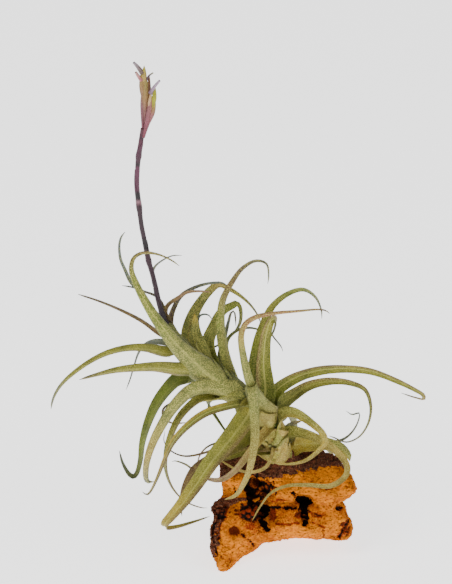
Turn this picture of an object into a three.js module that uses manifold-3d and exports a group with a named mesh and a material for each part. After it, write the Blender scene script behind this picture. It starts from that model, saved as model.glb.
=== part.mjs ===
// Tillandsia purpurea, an air plant on a long leafy stem, seated in a chunk of cork bark.
// Millimetres, +Z up. The origin lies on the flat underside of the block's long back foot.
import * as THREE from "three";
import { mergeVertices } from "three/addons/utils/BufferGeometryUtils.js";
import Module from "manifold-3d";

const wasm = await Module();
wasm.setup();

// Driving sizes
const STEM_RADIUS = 4.5;
const APEX_RADIUS = 2.8;
const SHEATH_WIDTH = 9;
const SHEATH_REACH = 9;
const ROOT_DEPTH = 5;
const CLASP_WIDTH = 10.5;
const CLASP_REACH = 6.5;
const FLARE_REACH = 22;
const SHEATH_SWELL = 1.8;
const BASE_THICKNESS = 0.9;
const TIP_THICKNESS = 0.65;
const TIP_WIDTH = 0.65;
const NARROW_LEAF = 4.6;
const SCAPE_RADIUS = 1.15;
const SCAPE_TOP_RADIUS = 1.05;
const CLEARANCE = 0.3;
const HOLE_ROOM = 0.5;

// How the plant is seen: places are read as column and row of the photograph, with the distance
// in millimetres behind the stem's plane, and turned into millimetres by the view below.
const MM_PER_PIXEL = 0.5;
const MIDDLE_COLUMN = 226;
const MIDDLE_ROW = 292;
const VIEW_DISTANCE = 1100;
const VIEW_TILT = THREE.MathUtils.degToRad(22);
const STEM_PLANE = -18;
const AIM = new THREE.Vector3(-27.5, STEM_PLANE, 147.5);
const TO_VIEWER = new THREE.Vector3(0, -Math.cos(VIEW_TILT), Math.sin(VIEW_TILT));

function place([column, row, back]) {
  const across = (column - MIDDLE_COLUMN) * MM_PER_PIXEL;
  const up = (MIDDLE_ROW - row) * MM_PER_PIXEL;
  const cos = Math.cos(VIEW_TILT);
  const sin = Math.sin(VIEW_TILT);
  const far = VIEW_DISTANCE + back * cos;
  const height = (up * far - VIEW_DISTANCE * back * sin) / (VIEW_DISTANCE * cos + up * sin);
  const side = (across * (far - height * sin)) / VIEW_DISTANCE;
  return new THREE.Vector3(AIM.x + side, AIM.y + back, AIM.z + height);
}

// The stem's axis, from its foot in the block to its apex
const STEM_AXIS = [
  [279, 475, 6], [278, 464, 5], [277, 451, 3], [275, 438, 1], [268, 424, -1], [259, 410, -3],
  [247, 398, -3], [232, 389, -2], [216, 378, -1], [201, 364, 1], [188, 351, 2], [176, 337, 3],
  [168, 325, 3],
];

// The scape's axis, from its seat in the apex to the foot of the spikes
const SCAPE_AXIS = [
  [170.5, 329, 3], [168, 325, 3], [164, 318.8, 4], [160, 306, 5], [155.3, 285.5, 6], [152.2, 273.2, 7],
  [148.6, 261, 8], [146, 248.6, 8], [144, 238.3, 8], [141.4, 225, 8], [139, 205, 8], [137, 185, 8],
  [137.4, 170, 8], [138.7, 155, 8], [141, 141, 8], [143, 128.5, 8],
];

// Leaves, from the apex down: name, where the leaf leaves the stem (column, row), width in
// millimetres, by what share its base is wider, how fast it narrows, how far in degrees its
// channel turns to the viewer, midline.
const LEAVES = [
  ["tall_front", [214, 378], 14.5, 0.5, 1.6, 0,
    [[205, 372, -6], [190, 358, -8], [176, 344, -9], [164, 329, -9], [153, 314, -9], [145, 301, -8],
      [139, 290, -7], [135, 281, -6], [132, 273, -5], [131.5, 266, -4], [134, 258, -2], [142, 253, 1],
      [157, 254, 4], [172, 260.5, 5], [179.4, 266, 4]]],
  ["left_arch", [190, 355], 6.6, 0.9, 0.9, -40,
    [[178, 352, -2], [168, 353.5, -5], [147, 349, -11], [127, 349, -15], [106.5, 354, -18],
      [86, 364.5, -20], [65.5, 380.5, -20], [57, 391, -19], [52.5, 401, -18], [51, 409, -17]]],
  ["left_straight", [205, 372], 8.6, 0.55, 0.75, -35,
    [[190, 372, -6], [178, 370.5, -10], [157, 368, -16], [137, 368.6, -22], [117, 370.6, -28],
      [96, 375.3, -34], [79, 379.8, -39]]],
  ["behind_left_drop", [180, 345], 3.6, 0, 0.8, 30,
    [[170, 344, 6], [162, 342.5, 10], [155, 342.3, 14], [148, 344, 18], [142, 348.5, 22],
      [138, 355, 25], [134, 367, 28], [130, 380, 28], [126, 390, 27]]],
  ["left_thread", [176, 340], 4.5, 0, 1, 40,
    [[167, 338, 6], [157, 331.7, 10], [142, 321, 17], [122, 310.6, 23], [100, 301.4, 28],
      [78, 294.2, 30]]],
  ["apex_left_curl", [174, 335], 4, 0, 0.9, 40,
    [[165, 324, 9], [155, 312, 12], [145, 299, 14], [137, 288, 15], [130.6, 281, 15], [125, 269, 15],
      [121, 260, 14], [119.5, 251, 13], [119.6, 243, 12], [121.5, 236.5, 11], [125, 232, 10]]],
  ["apex_low_curl", [170, 328], 3, 0, 1, 40,
    [[166, 316, 8], [161, 303, 12], [156, 296.5, 15], [144, 291.6, 18], [133, 287.6, 18],
      [122, 285.5, 16]]],
  ["apex_right_curl", [169, 326], 3, 0, 1, 40,
    [[162, 314, 10], [159.5, 305, 13], [156, 292, 16], [152.5, 279, 18], [153.5, 268.5, 18],
      [161, 261, 15], [173, 255.5, 12], [182, 255.5, 11]]],
  ["apex_right_inner", [170, 327], 3, 0, 0.8, 40,
    [[167, 319, 5], [165.5, 312, 7], [167, 306.5, 9], [171, 302.5, 11], [178, 297.8, 13],
      [185.5, 293.3, 15], [192.7, 291.6, 16], [205, 291.5, 17], [210, 292.2, 16]]],
  ["apex_right_outer", [173, 332], 3.6, 0, 0.9, 40,
    [[171, 325, 9], [171, 318, 12], [173, 310, 14], [181, 296, 18], [195, 287.4, 20], [211, 283, 18],
      [223, 283, 15], [228, 286, 13]]],
  ["high_arch", [197, 360], 11, 0.1, 1.3, 40,
    [[192, 350, 10], [188.5, 335, 17], [192, 319, 22], [200.8, 302.3, 26], [210, 291, 27],
      [219.5, 284, 25], [229, 288, 21], [240, 295, 19], [250, 304, 17], [257.5, 314.5, 15],
      [261.3, 324.6, 14]]],
  ["cut_tip", [214, 375], 10.8, 0.1, 0.6, 40,
    [[207, 360, 6], [203.5, 350, 9], [197.3, 334.6, 12], [195.4, 319, 11], [194.6, 313.5, 10]]],
  ["thin_hook", [210, 372], 3.2, 0, 1, 40,
    [[206, 360, 14], [200.5, 336, 20], [198, 320, 21], [200.5, 315, 21], [208, 314.6, 20],
      [213, 320.4, 19]]],
  ["middle_hairpin", [222, 382], 13, 0, 1.4, 40,
    [[214, 368, 8], [209.5, 356, 13], [208.5, 342.3, 17], [214.2, 327, 21], [222.3, 311.5, 22],
      [233, 305, 21], [237.7, 303, 20], [240.6, 306.5, 19], [241.4, 318, 19], [237.5, 328.5, 23],
      [227, 340, 29]]],
  ["middle_arch", [236, 390], 4, 0, 1, 40,
    [[231, 375, 14], [228, 360, 19], [226.5, 348, 20], [228.5, 338, 19], [238, 330, 19],
      [249, 327.7, 19], [260, 330, 17], [265, 333, 16]]],
  ["middle_thread", [238, 392], 3, 0, 1.2, 40,
    [[232, 378, 18], [228, 362, 24], [225, 350, 27], [221, 344.4, 28], [213, 347.3, 27],
      [194, 348.5, 24]]],
  ["middle_crook", [232, 388], 8, 0.3, 1.6, 40,
    [[226, 375, 8], [222.5, 364, 12], [221.5, 354, 14], [223, 343, 14], [226.5, 330, 13],
      [229, 320, 12], [231.5, 312, 12], [234, 311, 12], [235.5, 317.5, 12], [235.8, 326, 11]]],
  ["tall_arch", [246, 398], 13.2, -0.4, 1.2, 45,
    [[240, 388, 1], [236, 378, 3], [228.5, 357.7, 5], [224, 337, 5], [222.5, 318, 3],
      [224.5, 299, 1], [233.8, 280.8, 2], [243, 268.5, 4], [256, 261.2, 6], [266.3, 264, 6],
      [268.5, 277, 4], [267.7, 284, 3]]],
  ["front_crook", [264, 418], 10, 1.1, 1.2, -50,
    [[258, 404, -9], [252, 391, -12], [247.5, 379, -13], [243, 359.5, -12], [240.4, 339, -10],
      [241.6, 331, -9], [246, 323, -8], [256, 317, -8], [273.6, 313.4, -10], [297, 311.2, -14],
      [319.7, 309.5, -17], [326, 310.7, -18], [329.7, 313.6, -18]]],
  ["right_crook", [258, 412], 9, 0, 1.1, 20,
    [[256, 398, 2], [254.5, 385, 5], [254, 370, 7], [257.5, 345, 8], [264.5, 322, 7],
      [273, 305.5, 6], [287.5, 293.8, 7], [303, 289.6, 9], [315.3, 297.3, 11], [321.3, 310.8, 11],
      [321.8, 319, 10]]],
  ["folded_tip", [264, 416], 12.4, 0.3, 0.8, 45,
    [[265, 402, 0], [265.5, 390, 2], [263.5, 362, 1], [265.5, 338, -1], [268, 327, -2],
      [271.5, 319.5, -2], [275, 319.5, 0], [274.3, 327, 3], [270.5, 338, 7]]],
  ["thin_behind_fold", [262, 410], 3, 0, 1, 40,
    [[262, 395, 8], [263, 375, 10], [264, 355, 10], [266, 337, 8], [270, 333, 7], [275.4, 339.2, 7],
      [281.5, 347, 7], [282.8, 351.5, 6]]],
  ["long_right_arch", [268, 420], 7.8, 0.4, 0.85, 40,
    [[271, 404, 4], [272, 396, 5], [280, 387, 6], [297, 376.8, 5], [320, 370, 2], [345, 368.3, -2],
      [371, 371, -6], [397, 380.6, -10], [415, 389.5, -13], [423.3, 394.8, -13], [423.6, 398.7, -12],
      [415.9, 397.5, -9], [401.2, 393, -4]]],
  ["right_drop", [271, 427], 9.8, 0.4, 1.9, 40,
    [[277, 412, 8], [281, 405, 10], [294, 395, 13], [310, 385.7, 15], [332, 381.5, 17],
      [352, 383.8, 18], [365, 390.3, 18], [370.4, 406, 16], [368.3, 422.5, 14], [359.3, 436.4, 12],
      [346.5, 442, 10], [334, 437.5, 9], [328.7, 435.8, 10]]],
  ["right_fold_back", [276, 438], 9.8, 0.5, 1.6, 40,
    [[279, 424, -4], [283, 415, -7], [291, 412, -10], [299.5, 414.5, -13], [315.5, 426, -18],
      [324, 435, -20], [325.5, 443, -21], [320.5, 449, -22], [305.6, 460.5, -24], [286.4, 464.2, -25],
      [267.2, 460, -25], [256.5, 453.5, -23]]],
  ["front_hanging", [254, 404], 8.2, 0.1, 0.5, 45,
    [[253, 394, -11], [252.6, 388, -15], [253.4, 389, -19], [255, 405, -22], [255.5, 420, -25],
      [255.5, 439, -30], [253, 456, -34],
      [249.3, 471.5, -35], [243, 485.4, -35], [235.5, 495.3, -33], [224.6, 499.5, -32]]],
  ["low_front_folded", [262, 414], 15.2, 0, 0.9, 45,
    [[252, 408, -10], [247, 417, -14], [231, 439, -22], [211.5, 462.5, -28], [195.5, 486, -32],
      [182.5, 503.5, -34], [170.5, 517.5, -34], [165.5, 523, -33], [165.5, 526.5, -31],
      [176, 525.8, -28], [193, 521.4, -26], [209.8, 516.3, -26]]],
  ["brown_behind_front", [262, 424], 9.5, 0.3, 0.8, 30,
    [[250, 422, -6], [240, 432, -10], [219, 453, -17], [198.5, 472, -22], [187.5, 491, -25],
      [183, 508, -26], [183.3, 517, -25]]],
  ["two_tone_drop", [250, 406], 6.4, -0.2, 0.8, 75,
    [[243, 405.5, -10], [225, 407.5, -17], [205, 414, -22], [188, 426, -25], [174, 441.5, -25],
      [165, 460, -23], [157, 479.4, -21], [149.5, 493, -19], [146.5, 494.8, -19], [142.5, 491.8, -18]]],
  ["long_left_drop", [236, 396], 7.6, 0.2, 0.8, 40,
    [[222, 399, -4], [208, 400, -6], [199.4, 401, -8], [183, 415, -13], [173, 433, -16],
      [167.5, 451, -16], [166.8, 470.5, -14], [173.5, 488.5, -12], [186, 501.5, -10], [202, 507.7, -9],
      [207, 507.8, -9]]],
  ["grey_left_drop", [228, 390], 10.8, 0.15, 0.6, -32,
    [[214, 389, -8], [202, 389.5, -11], [192, 392.5, -13], [175.5, 408, -17], [161.5, 429, -19],
      [151.3, 450.6, -20], [146.5, 470.5, -19], [148.2, 482.2, -17], [155, 481.5, -15]]],
  ["green_left_drop", [205, 378], 10.6, 0.2, 0.85, 38,
    [[190, 380, 3], [179, 381.5, 3], [171.5, 387.5, 2], [158.5, 404, 0], [149.5, 423, -2],
      [143.8, 442, -3], [141.2, 461.5, -3], [137, 474.5, -3], [133.5, 477, -3], [129.2, 474.8, -3],
      [122.3, 463, -3], [119.3, 450.6, -3]]],
  ["dark_behind_drop", [226, 388], 7.5, 0.3, 1, 30,
    [[215, 396, 6], [209, 403, 9], [214, 412, 11], [226, 431, 13], [237, 447, 14]]],
  ["left_hook_thread", [212, 386], 3, 0, 1.2, 40,
    [[205, 392, 8], [195, 396, 10], [186, 399, 11], [171.5, 403.5, 11], [163.2, 409.3, 9],
      [164, 418, 7], [173, 423.3, 5], [187, 422.5, 5]]],
  ["left_loop_thread", [246, 404], 3, 0, 1.4, 40,
    [[238, 420, 4], [228, 436, 6], [214, 449, 7], [199.4, 454.4, 7], [184, 456.2, 6], [171, 451, 4],
      [163.9, 441, 3], [165, 431, 3]]],
  ["low_hook_thread", [252, 412], 3, 0, 1.4, 40,
    [[243, 425, 10], [233, 437, 12], [226, 443, 13], [214.5, 443.7, 12], [204, 449.8, 10],
      [198.2, 460.5, 9], [200, 469, 8], [203, 472, 8]]],
  ["short_curl_thread", [252, 410], 2.8, 0, 1.4, 40,
    [[244, 416, 6], [238, 420.5, 8], [229.5, 426, 9], [224.6, 434.5, 9], [224.3, 439, 8]]],
  ["block_front_sweep", [276, 436], 6.8, 0.3, 1.1, 30,
    [[271, 428, -6], [266, 432, -10], [256, 444.5, -16], [245, 459, -20], [234.5, 471.3, -22],
      [222.3, 479.3, -22], [209.2, 478.8, -17], [196, 471.7, -12], [186, 464.4, -10],
      [175, 460.8, -10], [171.7, 461.5, -10]]],
  ["thin_front_u", [278, 446], 2.6, 0, 0.7, 40,
    [[273, 449, -8], [271.5, 456, -12], [265, 467.5, -17], [251.5, 472, -18], [236.5, 469.2, -16],
      [224, 462.3, -14], [219, 459, -13]]],
  ["block_wrap", [281, 446], 7.4, 0.3, 0.9, 40,
    [[284, 436, -2], [290, 432.5, -2], [311, 436.5, -4], [331.5, 447.5, -7], [345.5, 463, -10],
      [347.2, 470, -12], [345, 477, -15], [331, 486, -18], [308, 485.3, -19], [287.5, 486, -19.5],
      [271.5, 492.8, -20], [261, 505.5, -21.5], [252.3, 520.5, -25]]],
  ["broad_grey_right", [280, 452], 10.5, 0.3, 0.5, 50,
    [[286, 446, 6], [297, 444.5, 8], [319, 443.5, 9], [339, 446.5, 6], [345, 450.7, 4],
      [348.7, 456, 3], [349.8, 461.5, 3]]],
  ["hooked_right", [279, 446], 5.5, 0, 1.4, 40,
    [[286, 440, 12], [297, 438.5, 16], [320, 441.5, 20], [337, 442, 19], [349, 435.7, 17],
      [357.3, 424, 16], [359.2, 413, 15], [352, 414.5, 13], [346, 410.8, 12]]],
  ["small_grey_right", [281, 440], 6, 0, 0.8, 30,
    [[286, 430, 13], [290, 425.5, 18], [296, 422.8, 22], [303, 420.4, 26]]],
  ["small_grey_low", [281, 443], 5.5, 0, 0.8, 30,
    [[288, 434.5, 4], [292, 431.5, 7], [300, 428, 11]]],
  ["over_bark", [276, 453], 7.5, 0.3, 0.6, 30,
    [[266, 453, -2], [256, 452, -3], [246, 452.5, -4], [236, 455, -5], [228, 458.5, -6],
      [221, 461.5, -7]]],
  ["short_over_bark", [277, 450], 5, 0, 0.7, 30,
    [[272, 450, -7], [265, 450.5, -11], [258, 452, -14]]],
  ["rear_low", [276, 437], 8, 0, 0.8, 0,
    [[276, 425, 12], [275, 418, 22], [273, 415, 34], [270, 418, 46], [266, 426, 56], [262, 437, 63],
      [259, 450, 66]]],
  ["rear_middle", [262, 416], 8, 0.3, 0.8, 0,
    [[262, 402, 10], [262, 390, 18], [262, 378, 28], [263, 368, 38], [264.5, 362, 50], [266, 362, 60],
      [267, 368, 68], [267, 377, 73]]],
  ["rear_left", [240, 394], 8, 0.3, 0.8, 0,
    [[236, 386, 10], [233, 377, 20], [229, 368, 32], [226, 362, 44], [224, 361, 55], [223, 365, 64],
      [223, 372, 70]]],
  ["rear_far_left", [222, 383], 7.5, 0.3, 0.8, 0,
    [[217, 377, 10], [212, 371, 20], [207, 366, 32], [203, 364, 44], [199, 366, 54], [196, 371, 62],
      [194, 378, 67]]],
  ["rear_upper", [205, 368], 7, 0.3, 0.8, 0,
    [[198, 360, 10], [191, 353, 20], [184, 348, 30], [178, 346, 40], [173, 348, 48], [170, 353, 54],
      [169, 358, 58]]],
  ["rear_right", [273, 431], 8, 0.3, 0.8, 0,
    [[281, 421, 10], [286, 417, 22], [290, 416, 34], [293, 419, 46], [295, 427, 56], [296, 438, 64],
      [297, 450, 69]]],
  ["rear_foot", [279, 448], 7.5, 0, 0.8, 0,
    [[279, 438, 14], [278, 430, 26], [276, 432, 38], [273, 444, 48], [268, 458, 58], [262, 474, 66]]],
  ["rear_foot_right", [281, 444], 7.5, 0, 0.8, 0,
    [[288, 443, 16], [298, 441, 28], [309, 441, 40], [320, 445, 50], [330, 453, 57], [337, 465, 62],
      [341, 480, 64]]],
  ["rear_foot_left", [247, 400], 8, 0.3, 0.8, 0,
    [[243, 414, 14], [236, 424, 26], [229, 434, 36], [222, 444, 44], [215, 454, 50], [209, 463, 55],
      [205, 470, 58]]],
  ["rear_apex", [190, 353], 7, 0.3, 0.8, 0,
    [[181, 343, 12], [174, 334, 22], [167, 326, 32], [161, 320, 42], [157, 317, 50], [155, 318, 57]]],
];

// Bracts of the two spikes: foot, tip, half width in millimetres, sideways bow in millimetres,
// and how wide the foot is as a share of the bract's full width
const TALL_SPIKE_BRACTS = [
  [[143.4, 130, 8], [142, 90, 8], 1.05, -0.1, 0.85],
  [[144.2, 130, 8], [145.8, 76, 8], 1.9, 0.3, 0.34],
  [[145, 124, 8], [149.4, 75, 8], 1.2, 0.5, 0.34],
  [[144, 106, 8], [141.2, 73, 8], 1.4, -0.2, 0.34],
  [[143.8, 92, 8], [144.2, 65.8, 8], 1.3, 0, 0.34],
];
const SHORT_SPIKE_BRACTS = [
  [[144.8, 133, 6], [151.5, 96, 5.5], 1.6, 0.6, 0.5],
  [[146.4, 129, 6], [155.4, 99, 5.5], 1.3, 0.5, 0.34],
  [[148.4, 118, 6], [151, 92, 5.5], 1.0, 0, 0.34],
  [[151.8, 114, 5.5], [155.2, 87, 5.5], 1.2, 0.2, 0.34],
];

// Petals: small rolled tubes that stand in sockets between the bracts, with foot radius
const PETALS = [
  ["flower_top", [[142.6, 73.5, 8], [139.2, 68.6, 8], [136.4, 65.2, 7.5], [133.7, 62.4, 7]], 0.9],
  ["flower_left", [[142, 80.5, 8], [138.6, 76.4, 8], [135.8, 72, 7.5]], 0.75],
  ["flower_right", [[146.6, 80, 8], [149.2, 75.6, 8], [153.2, 72.8, 7.5]], 0.6],
  ["flower_side", [[150.4, 93.5, 5.8], [154, 87.4, 5.2], [159.8, 80.5, 4.6]], 1.0],
];

// Solids and sweeps

function solidOf(geometry) {
  const bare = new THREE.BufferGeometry();
  bare.setAttribute("position", geometry.getAttribute("position"));
  bare.setIndex(geometry.getIndex());
  const merged = mergeVertices(bare, 1e-4);
  const vertProperties = new Float32Array(merged.getAttribute("position").array);
  const triVerts = new Uint32Array(merged.getIndex().array);
  return new wasm.Manifold(new wasm.Mesh({ numProp: 3, vertProperties, triVerts }));
}

function geometryOf(solid) {
  const mesh = solid.getMesh();
  const geometry = new THREE.BufferGeometry();
  geometry.setAttribute("position", new THREE.BufferAttribute(mesh.vertProperties, 3));
  geometry.setIndex(new THREE.BufferAttribute(mesh.triVerts, 1));
  geometry.computeVertexNormals();
  return geometry;
}

// The largest body of a solid, with sealed hollows filled and loose scraps dropped
function mainBody(solid) {
  const bodies = solid.decompose();
  return bodies.reduce((best, body) => (body.volume() > best.volume() ? body : best));
}

function signedVolume(points, triangles) {
  let total = 0;
  for (const [a, b, c] of triangles) {
    total += points[a].dot(new THREE.Vector3().crossVectors(points[b], points[c]));
  }
  return total / 6;
}

function closedGeometry(points, triangles) {
  const outward = signedVolume(points, triangles) > 0;
  const geometry = new THREE.BufferGeometry().setFromPoints(points);
  geometry.setIndex(triangles.flatMap(([a, b, c]) => (outward ? [a, b, c] : [a, c, b])));
  return geometry;
}

// A closed sweep through rings of equal count, with each end closed by the given triangles
function sweep(rings, cap) {
  const count = rings[0].length;
  const triangles = [];
  for (let ring = 0; ring + 1 < rings.length; ring += 1) {
    for (let side = 0; side < count; side += 1) {
      const next = (side + 1) % count;
      const a = ring * count + side;
      const b = ring * count + next;
      triangles.push([a, b, b + count], [a, b + count, a + count]);
    }
  }
  const last = (rings.length - 1) * count;
  for (const [a, b, c] of cap) {
    triangles.push([a, c, b], [last + a, last + b, last + c]);
  }
  return closedGeometry(rings.flat(), triangles);
}

function fan(count) {
  return Array.from({ length: count - 2 }, (_, index) => [0, index + 1, index + 2]);
}

function smoothCurve(points) {
  return new THREE.CatmullRomCurve3(points, false, "centripetal");
}

// Frames along a line of points: tangent, across and up, carried along without twist
function frames(points, firstUp) {
  let up = firstUp.clone();
  return points.map((point, index) => {
    const before = points[Math.max(index - 1, 0)];
    const after = points[Math.min(index + 1, points.length - 1)];
    const tangent = new THREE.Vector3().subVectors(after, before).normalize();
    up = up.clone().addScaledVector(tangent, -up.dot(tangent)).normalize();
    const across = new THREE.Vector3().crossVectors(tangent, up);
    return { point, tangent, up, across };
  });
}

// A round stalk along a curve, with its radius given by the fraction of the way
function stalk(curve, steps, sides, radiusAt) {
  const points = Array.from({ length: steps + 1 }, (_, index) => curve.getPoint(index / steps));
  const rings = frames(points, new THREE.Vector3(0, 1, 0)).map(({ point, up, across }, index) => {
    const radius = radiusAt(index / steps);
    return Array.from({ length: sides }, (_, side) => {
      const angle = (side / sides) * Math.PI * 2;
      return point.clone()
        .addScaledVector(up, Math.cos(angle) * radius)
        .addScaledVector(across, Math.sin(angle) * radius);
    });
  });
  return solidOf(sweep(rings, fan(sides)));
}

// Leaves

const STEM = smoothCurve(STEM_AXIS.map(place));
const STEM_STEPS = 18;
const STEM_SIDES = 8;
const STEM_SAMPLES = 240;
const ROOT_OFFSET = 0.5;
const COLLAR_OFFSET = 0.9;
const FOLD_AT_BASE = THREE.MathUtils.degToRad(48);
const FOLD_AT_TIP = THREE.MathUtils.degToRad(25);
const FOLD_OPENS = 1.6;
const NARROW_THICKNESS = 0.6;
const RING_SPACING = 15;
const BROAD_CAP = [[0, 1, 4], [0, 4, 5], [1, 2, 3], [1, 3, 4]];
const NARROW_CAP = [[0, 1, 3], [1, 2, 3]];

// The stem with its sheaths: thicker above the block, where most sheaths overlap
function stemRadius(fraction) {
  const { lerp, smoothstep } = THREE.MathUtils;
  const swell = smoothstep(fraction, 0.14, 0.26) * (1 - smoothstep(fraction, 0.5, 0.95));
  return lerp(STEM_RADIUS, APEX_RADIUS, fraction) + SHEATH_SWELL * swell;
}

// Where on the stem a leaf is attached: the sample nearest to a place seen in the stem's plane
function nearestOnStem([column, row]) {
  const target = place([column, row, 0]);
  let best = { gap: Infinity, fraction: 0 };
  for (let index = 0; index <= STEM_SAMPLES; index += 1) {
    const fraction = index / STEM_SAMPLES;
    const point = STEM.getPoint(fraction);
    const gap = Math.hypot(point.x - target.x, point.z - target.z);
    if (gap < best.gap) best = { gap, fraction };
  }
  return best.fraction;
}

// The leaf's line: sunk in the stem, along it as a sheath, then out along the midline
function leafLine(attach, midline) {
  const seen = midline.map(place);
  const fraction = nearestOnStem(attach);
  const axis = STEM.getPoint(fraction);
  const along = STEM.getTangent(fraction);
  const out = new THREE.Vector3().subVectors(seen[0], axis);
  out.addScaledVector(along, -out.dot(along)).normalize();
  const radius = stemRadius(fraction);
  const root = axis.clone().addScaledVector(along, -ROOT_DEPTH).addScaledVector(out, radius * ROOT_OFFSET);
  const collar = axis.clone().addScaledVector(out, radius * COLLAR_OFFSET);
  return { points: [root, collar, ...seen], along };
}

// Points on the line, closer where the readings are closer
function linePoints(points) {
  const curve = smoothCurve(points);
  const spans = points.length - 1;
  const result = [];
  for (let span = 0; span < spans; span += 1) {
    const length = points[span].distanceTo(points[span + 1]);
    const steps = Math.max(1, Math.round(length / RING_SPACING));
    for (let step = 0; step < steps; step += 1) {
      result.push(curve.getPoint((span + step / steps) / spans));
    }
  }
  result.push(points[spans]);
  return result;
}

function lengthsAlong(points) {
  let total = 0;
  return points.map((point, index) => {
    if (index > 0) total += point.distanceTo(points[index - 1]);
    return total;
  });
}

// The channelled section: outer edge, keel and edge, then inner edge, fold and edge
function broadSection({ point, up, across }, width, fold, thickness) {
  const half = thickness / 2;
  const reach = (width / 2) * Math.cos(fold);
  const rise = (width / 2) * Math.sin(fold);
  const keel = half / Math.cos(fold);
  const sideways = half * Math.sin(fold);
  const level = half * Math.cos(fold);
  const at = (x, z) => point.clone().addScaledVector(across, x).addScaledVector(up, z);
  return [
    at(-reach - sideways, rise - level), at(0, -keel), at(reach + sideways, rise - level),
    at(reach - sideways, rise + level), at(0, keel), at(-reach + sideways, rise + level),
  ];
}

// A narrow leaf's section: edge, keel, edge and fold
function narrowSection({ point, up, across }, width, fold, thickness) {
  const reach = (width / 2) * Math.cos(fold);
  const rise = (width / 2) * Math.sin(fold);
  const at = (x, z) => point.clone().addScaledVector(across, x).addScaledVector(up, z);
  const half = thickness * NARROW_THICKNESS;
  return [at(-reach, rise), at(0, -half), at(reach, rise), at(0, half)];
}

function leaf([, attach, width, flare, taper, turn, midline]) {
  const line = leafLine(attach, midline);
  const points = linePoints(line.points);
  const lengths = lengthsAlong(points);
  const total = lengths[lengths.length - 1];
  const leaving = new THREE.Vector3().subVectors(points[3], points[1]).normalize();
  const inner = line.along.clone().addScaledVector(leaving, -line.along.dot(leaving)).normalize();
  const beside = new THREE.Vector3().crossVectors(leaving, inner);
  const facing = Math.sign(beside.dot(TO_VIEWER)) || 1;
  const angle = THREE.MathUtils.degToRad(turn);
  const section = width < NARROW_LEAF ? narrowSection : broadSection;
  const firstUp = inner.multiplyScalar(Math.cos(angle)).addScaledVector(beside, Math.sin(angle) * facing);
  const rings = frames(points, firstUp).map((frame, index) => {
    const fraction = lengths[index] / total;
    const sheath = Math.max(SHEATH_WIDTH - width, 0) * Math.exp(-((lengths[index] / SHEATH_REACH) ** 2));
    const wider = 1 + flare * Math.exp(-((lengths[index] / FLARE_REACH) ** 2));
    const free = TIP_WIDTH + (width - TIP_WIDTH) * (1 - fraction) ** taper * wider + sheath;
    const blade = lengths[index] < CLASP_REACH ? Math.min(free, CLASP_WIDTH) : free;
    const fold = THREE.MathUtils.lerp(FOLD_AT_BASE, FOLD_AT_TIP, Math.min(fraction * FOLD_OPENS, 1));
    const thickness = THREE.MathUtils.lerp(BASE_THICKNESS, TIP_THICKNESS, fraction);
    return section(frame, blade, fold, thickness);
  });
  return solidOf(sweep(rings, section === broadSection ? BROAD_CAP : NARROW_CAP));
}

function leafyStem() {
  const stem = stalk(STEM, STEM_STEPS, STEM_SIDES, stemRadius);
  const joined = LEAVES.reduce((plant, row) => plant.add(leaf(row)), stem);
  return mainBody(joined.subtract(flowerScape(CLEARANCE)));
}

// Scape and spikes

const SCAPE = smoothCurve(SCAPE_AXIS.map(place));
const SCAPE_STEPS = 40;
const SCAPE_SIDES = 7;
const SCAPE_JOINTS = [0.16, 0.4, 0.66, 0.86];
const JOINT_HALF_LENGTH = 0.025;
const JOINT_SWELL = 0.25;

function scapeRadius(fraction) {
  const swell = SCAPE_JOINTS.reduce(
    (most, joint) => Math.max(most, 1 - Math.abs(fraction - joint) / JOINT_HALF_LENGTH),
    0,
  );
  return THREE.MathUtils.lerp(SCAPE_RADIUS, SCAPE_TOP_RADIUS, fraction) + swell * JOINT_SWELL;
}

function flowerScape(room = 0) {
  return stalk(SCAPE, SCAPE_STEPS, SCAPE_SIDES, (fraction) => scapeRadius(fraction) + room);
}

// One keeled bract: a pointed boat shape, narrow at its foot and broadest above its middle
const BRACT_STEPS = 7;
const BRACT_SIDES = 6;
const BRACT_FLATNESS = 0.72;
const BRACT_FULL_BY = 0.6;
const BRACT_NARROWS_FROM = 0.55;
const BRACT_TIP = 0.22;

function bractShare(fraction, footShare) {
  const foot = THREE.MathUtils.lerp(footShare, 1, THREE.MathUtils.smoothstep(fraction, 0, BRACT_FULL_BY));
  const tip = Math.max(fraction - BRACT_NARROWS_FROM, 0) / (1 - BRACT_NARROWS_FROM);
  return foot * THREE.MathUtils.lerp(1, BRACT_TIP, tip ** 2);
}

function bract([foot, tip, halfWidth, bow, footShare], room) {
  const low = place(foot);
  const high = place(tip);
  const along = new THREE.Vector3().subVectors(high, low).normalize();
  const side = new THREE.Vector3().crossVectors(along, TO_VIEWER).normalize();
  const middle = new THREE.Vector3().addVectors(low, high).multiplyScalar(0.5).addScaledVector(side, bow);
  low.addScaledVector(along, -room);
  high.addScaledVector(along, room);
  const curve = smoothCurve([low, middle, high]);
  const points = Array.from({ length: BRACT_STEPS + 1 }, (_, index) => curve.getPoint(index / BRACT_STEPS));
  const rings = frames(points, side).map(({ point, up, across }, index) => {
    const half = halfWidth * bractShare(index / BRACT_STEPS, footShare);
    const depth = half * BRACT_FLATNESS + room;
    return Array.from({ length: BRACT_SIDES }, (_, corner) => {
      const angle = (corner / BRACT_SIDES) * Math.PI * 2;
      return point.clone()
        .addScaledVector(up, Math.cos(angle) * (half + room))
        .addScaledVector(across, Math.sin(angle) * depth);
    });
  });
  return solidOf(sweep(rings, fan(BRACT_SIDES)));
}

function bracts(rows, room = 0) {
  return rows.map((row) => bract(row, room)).reduce((all, one) => all.add(one));
}

const PETAL_STEPS = 6;
const PETAL_SIDES = 6;
const PETAL_TIP = 0.4;

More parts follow.
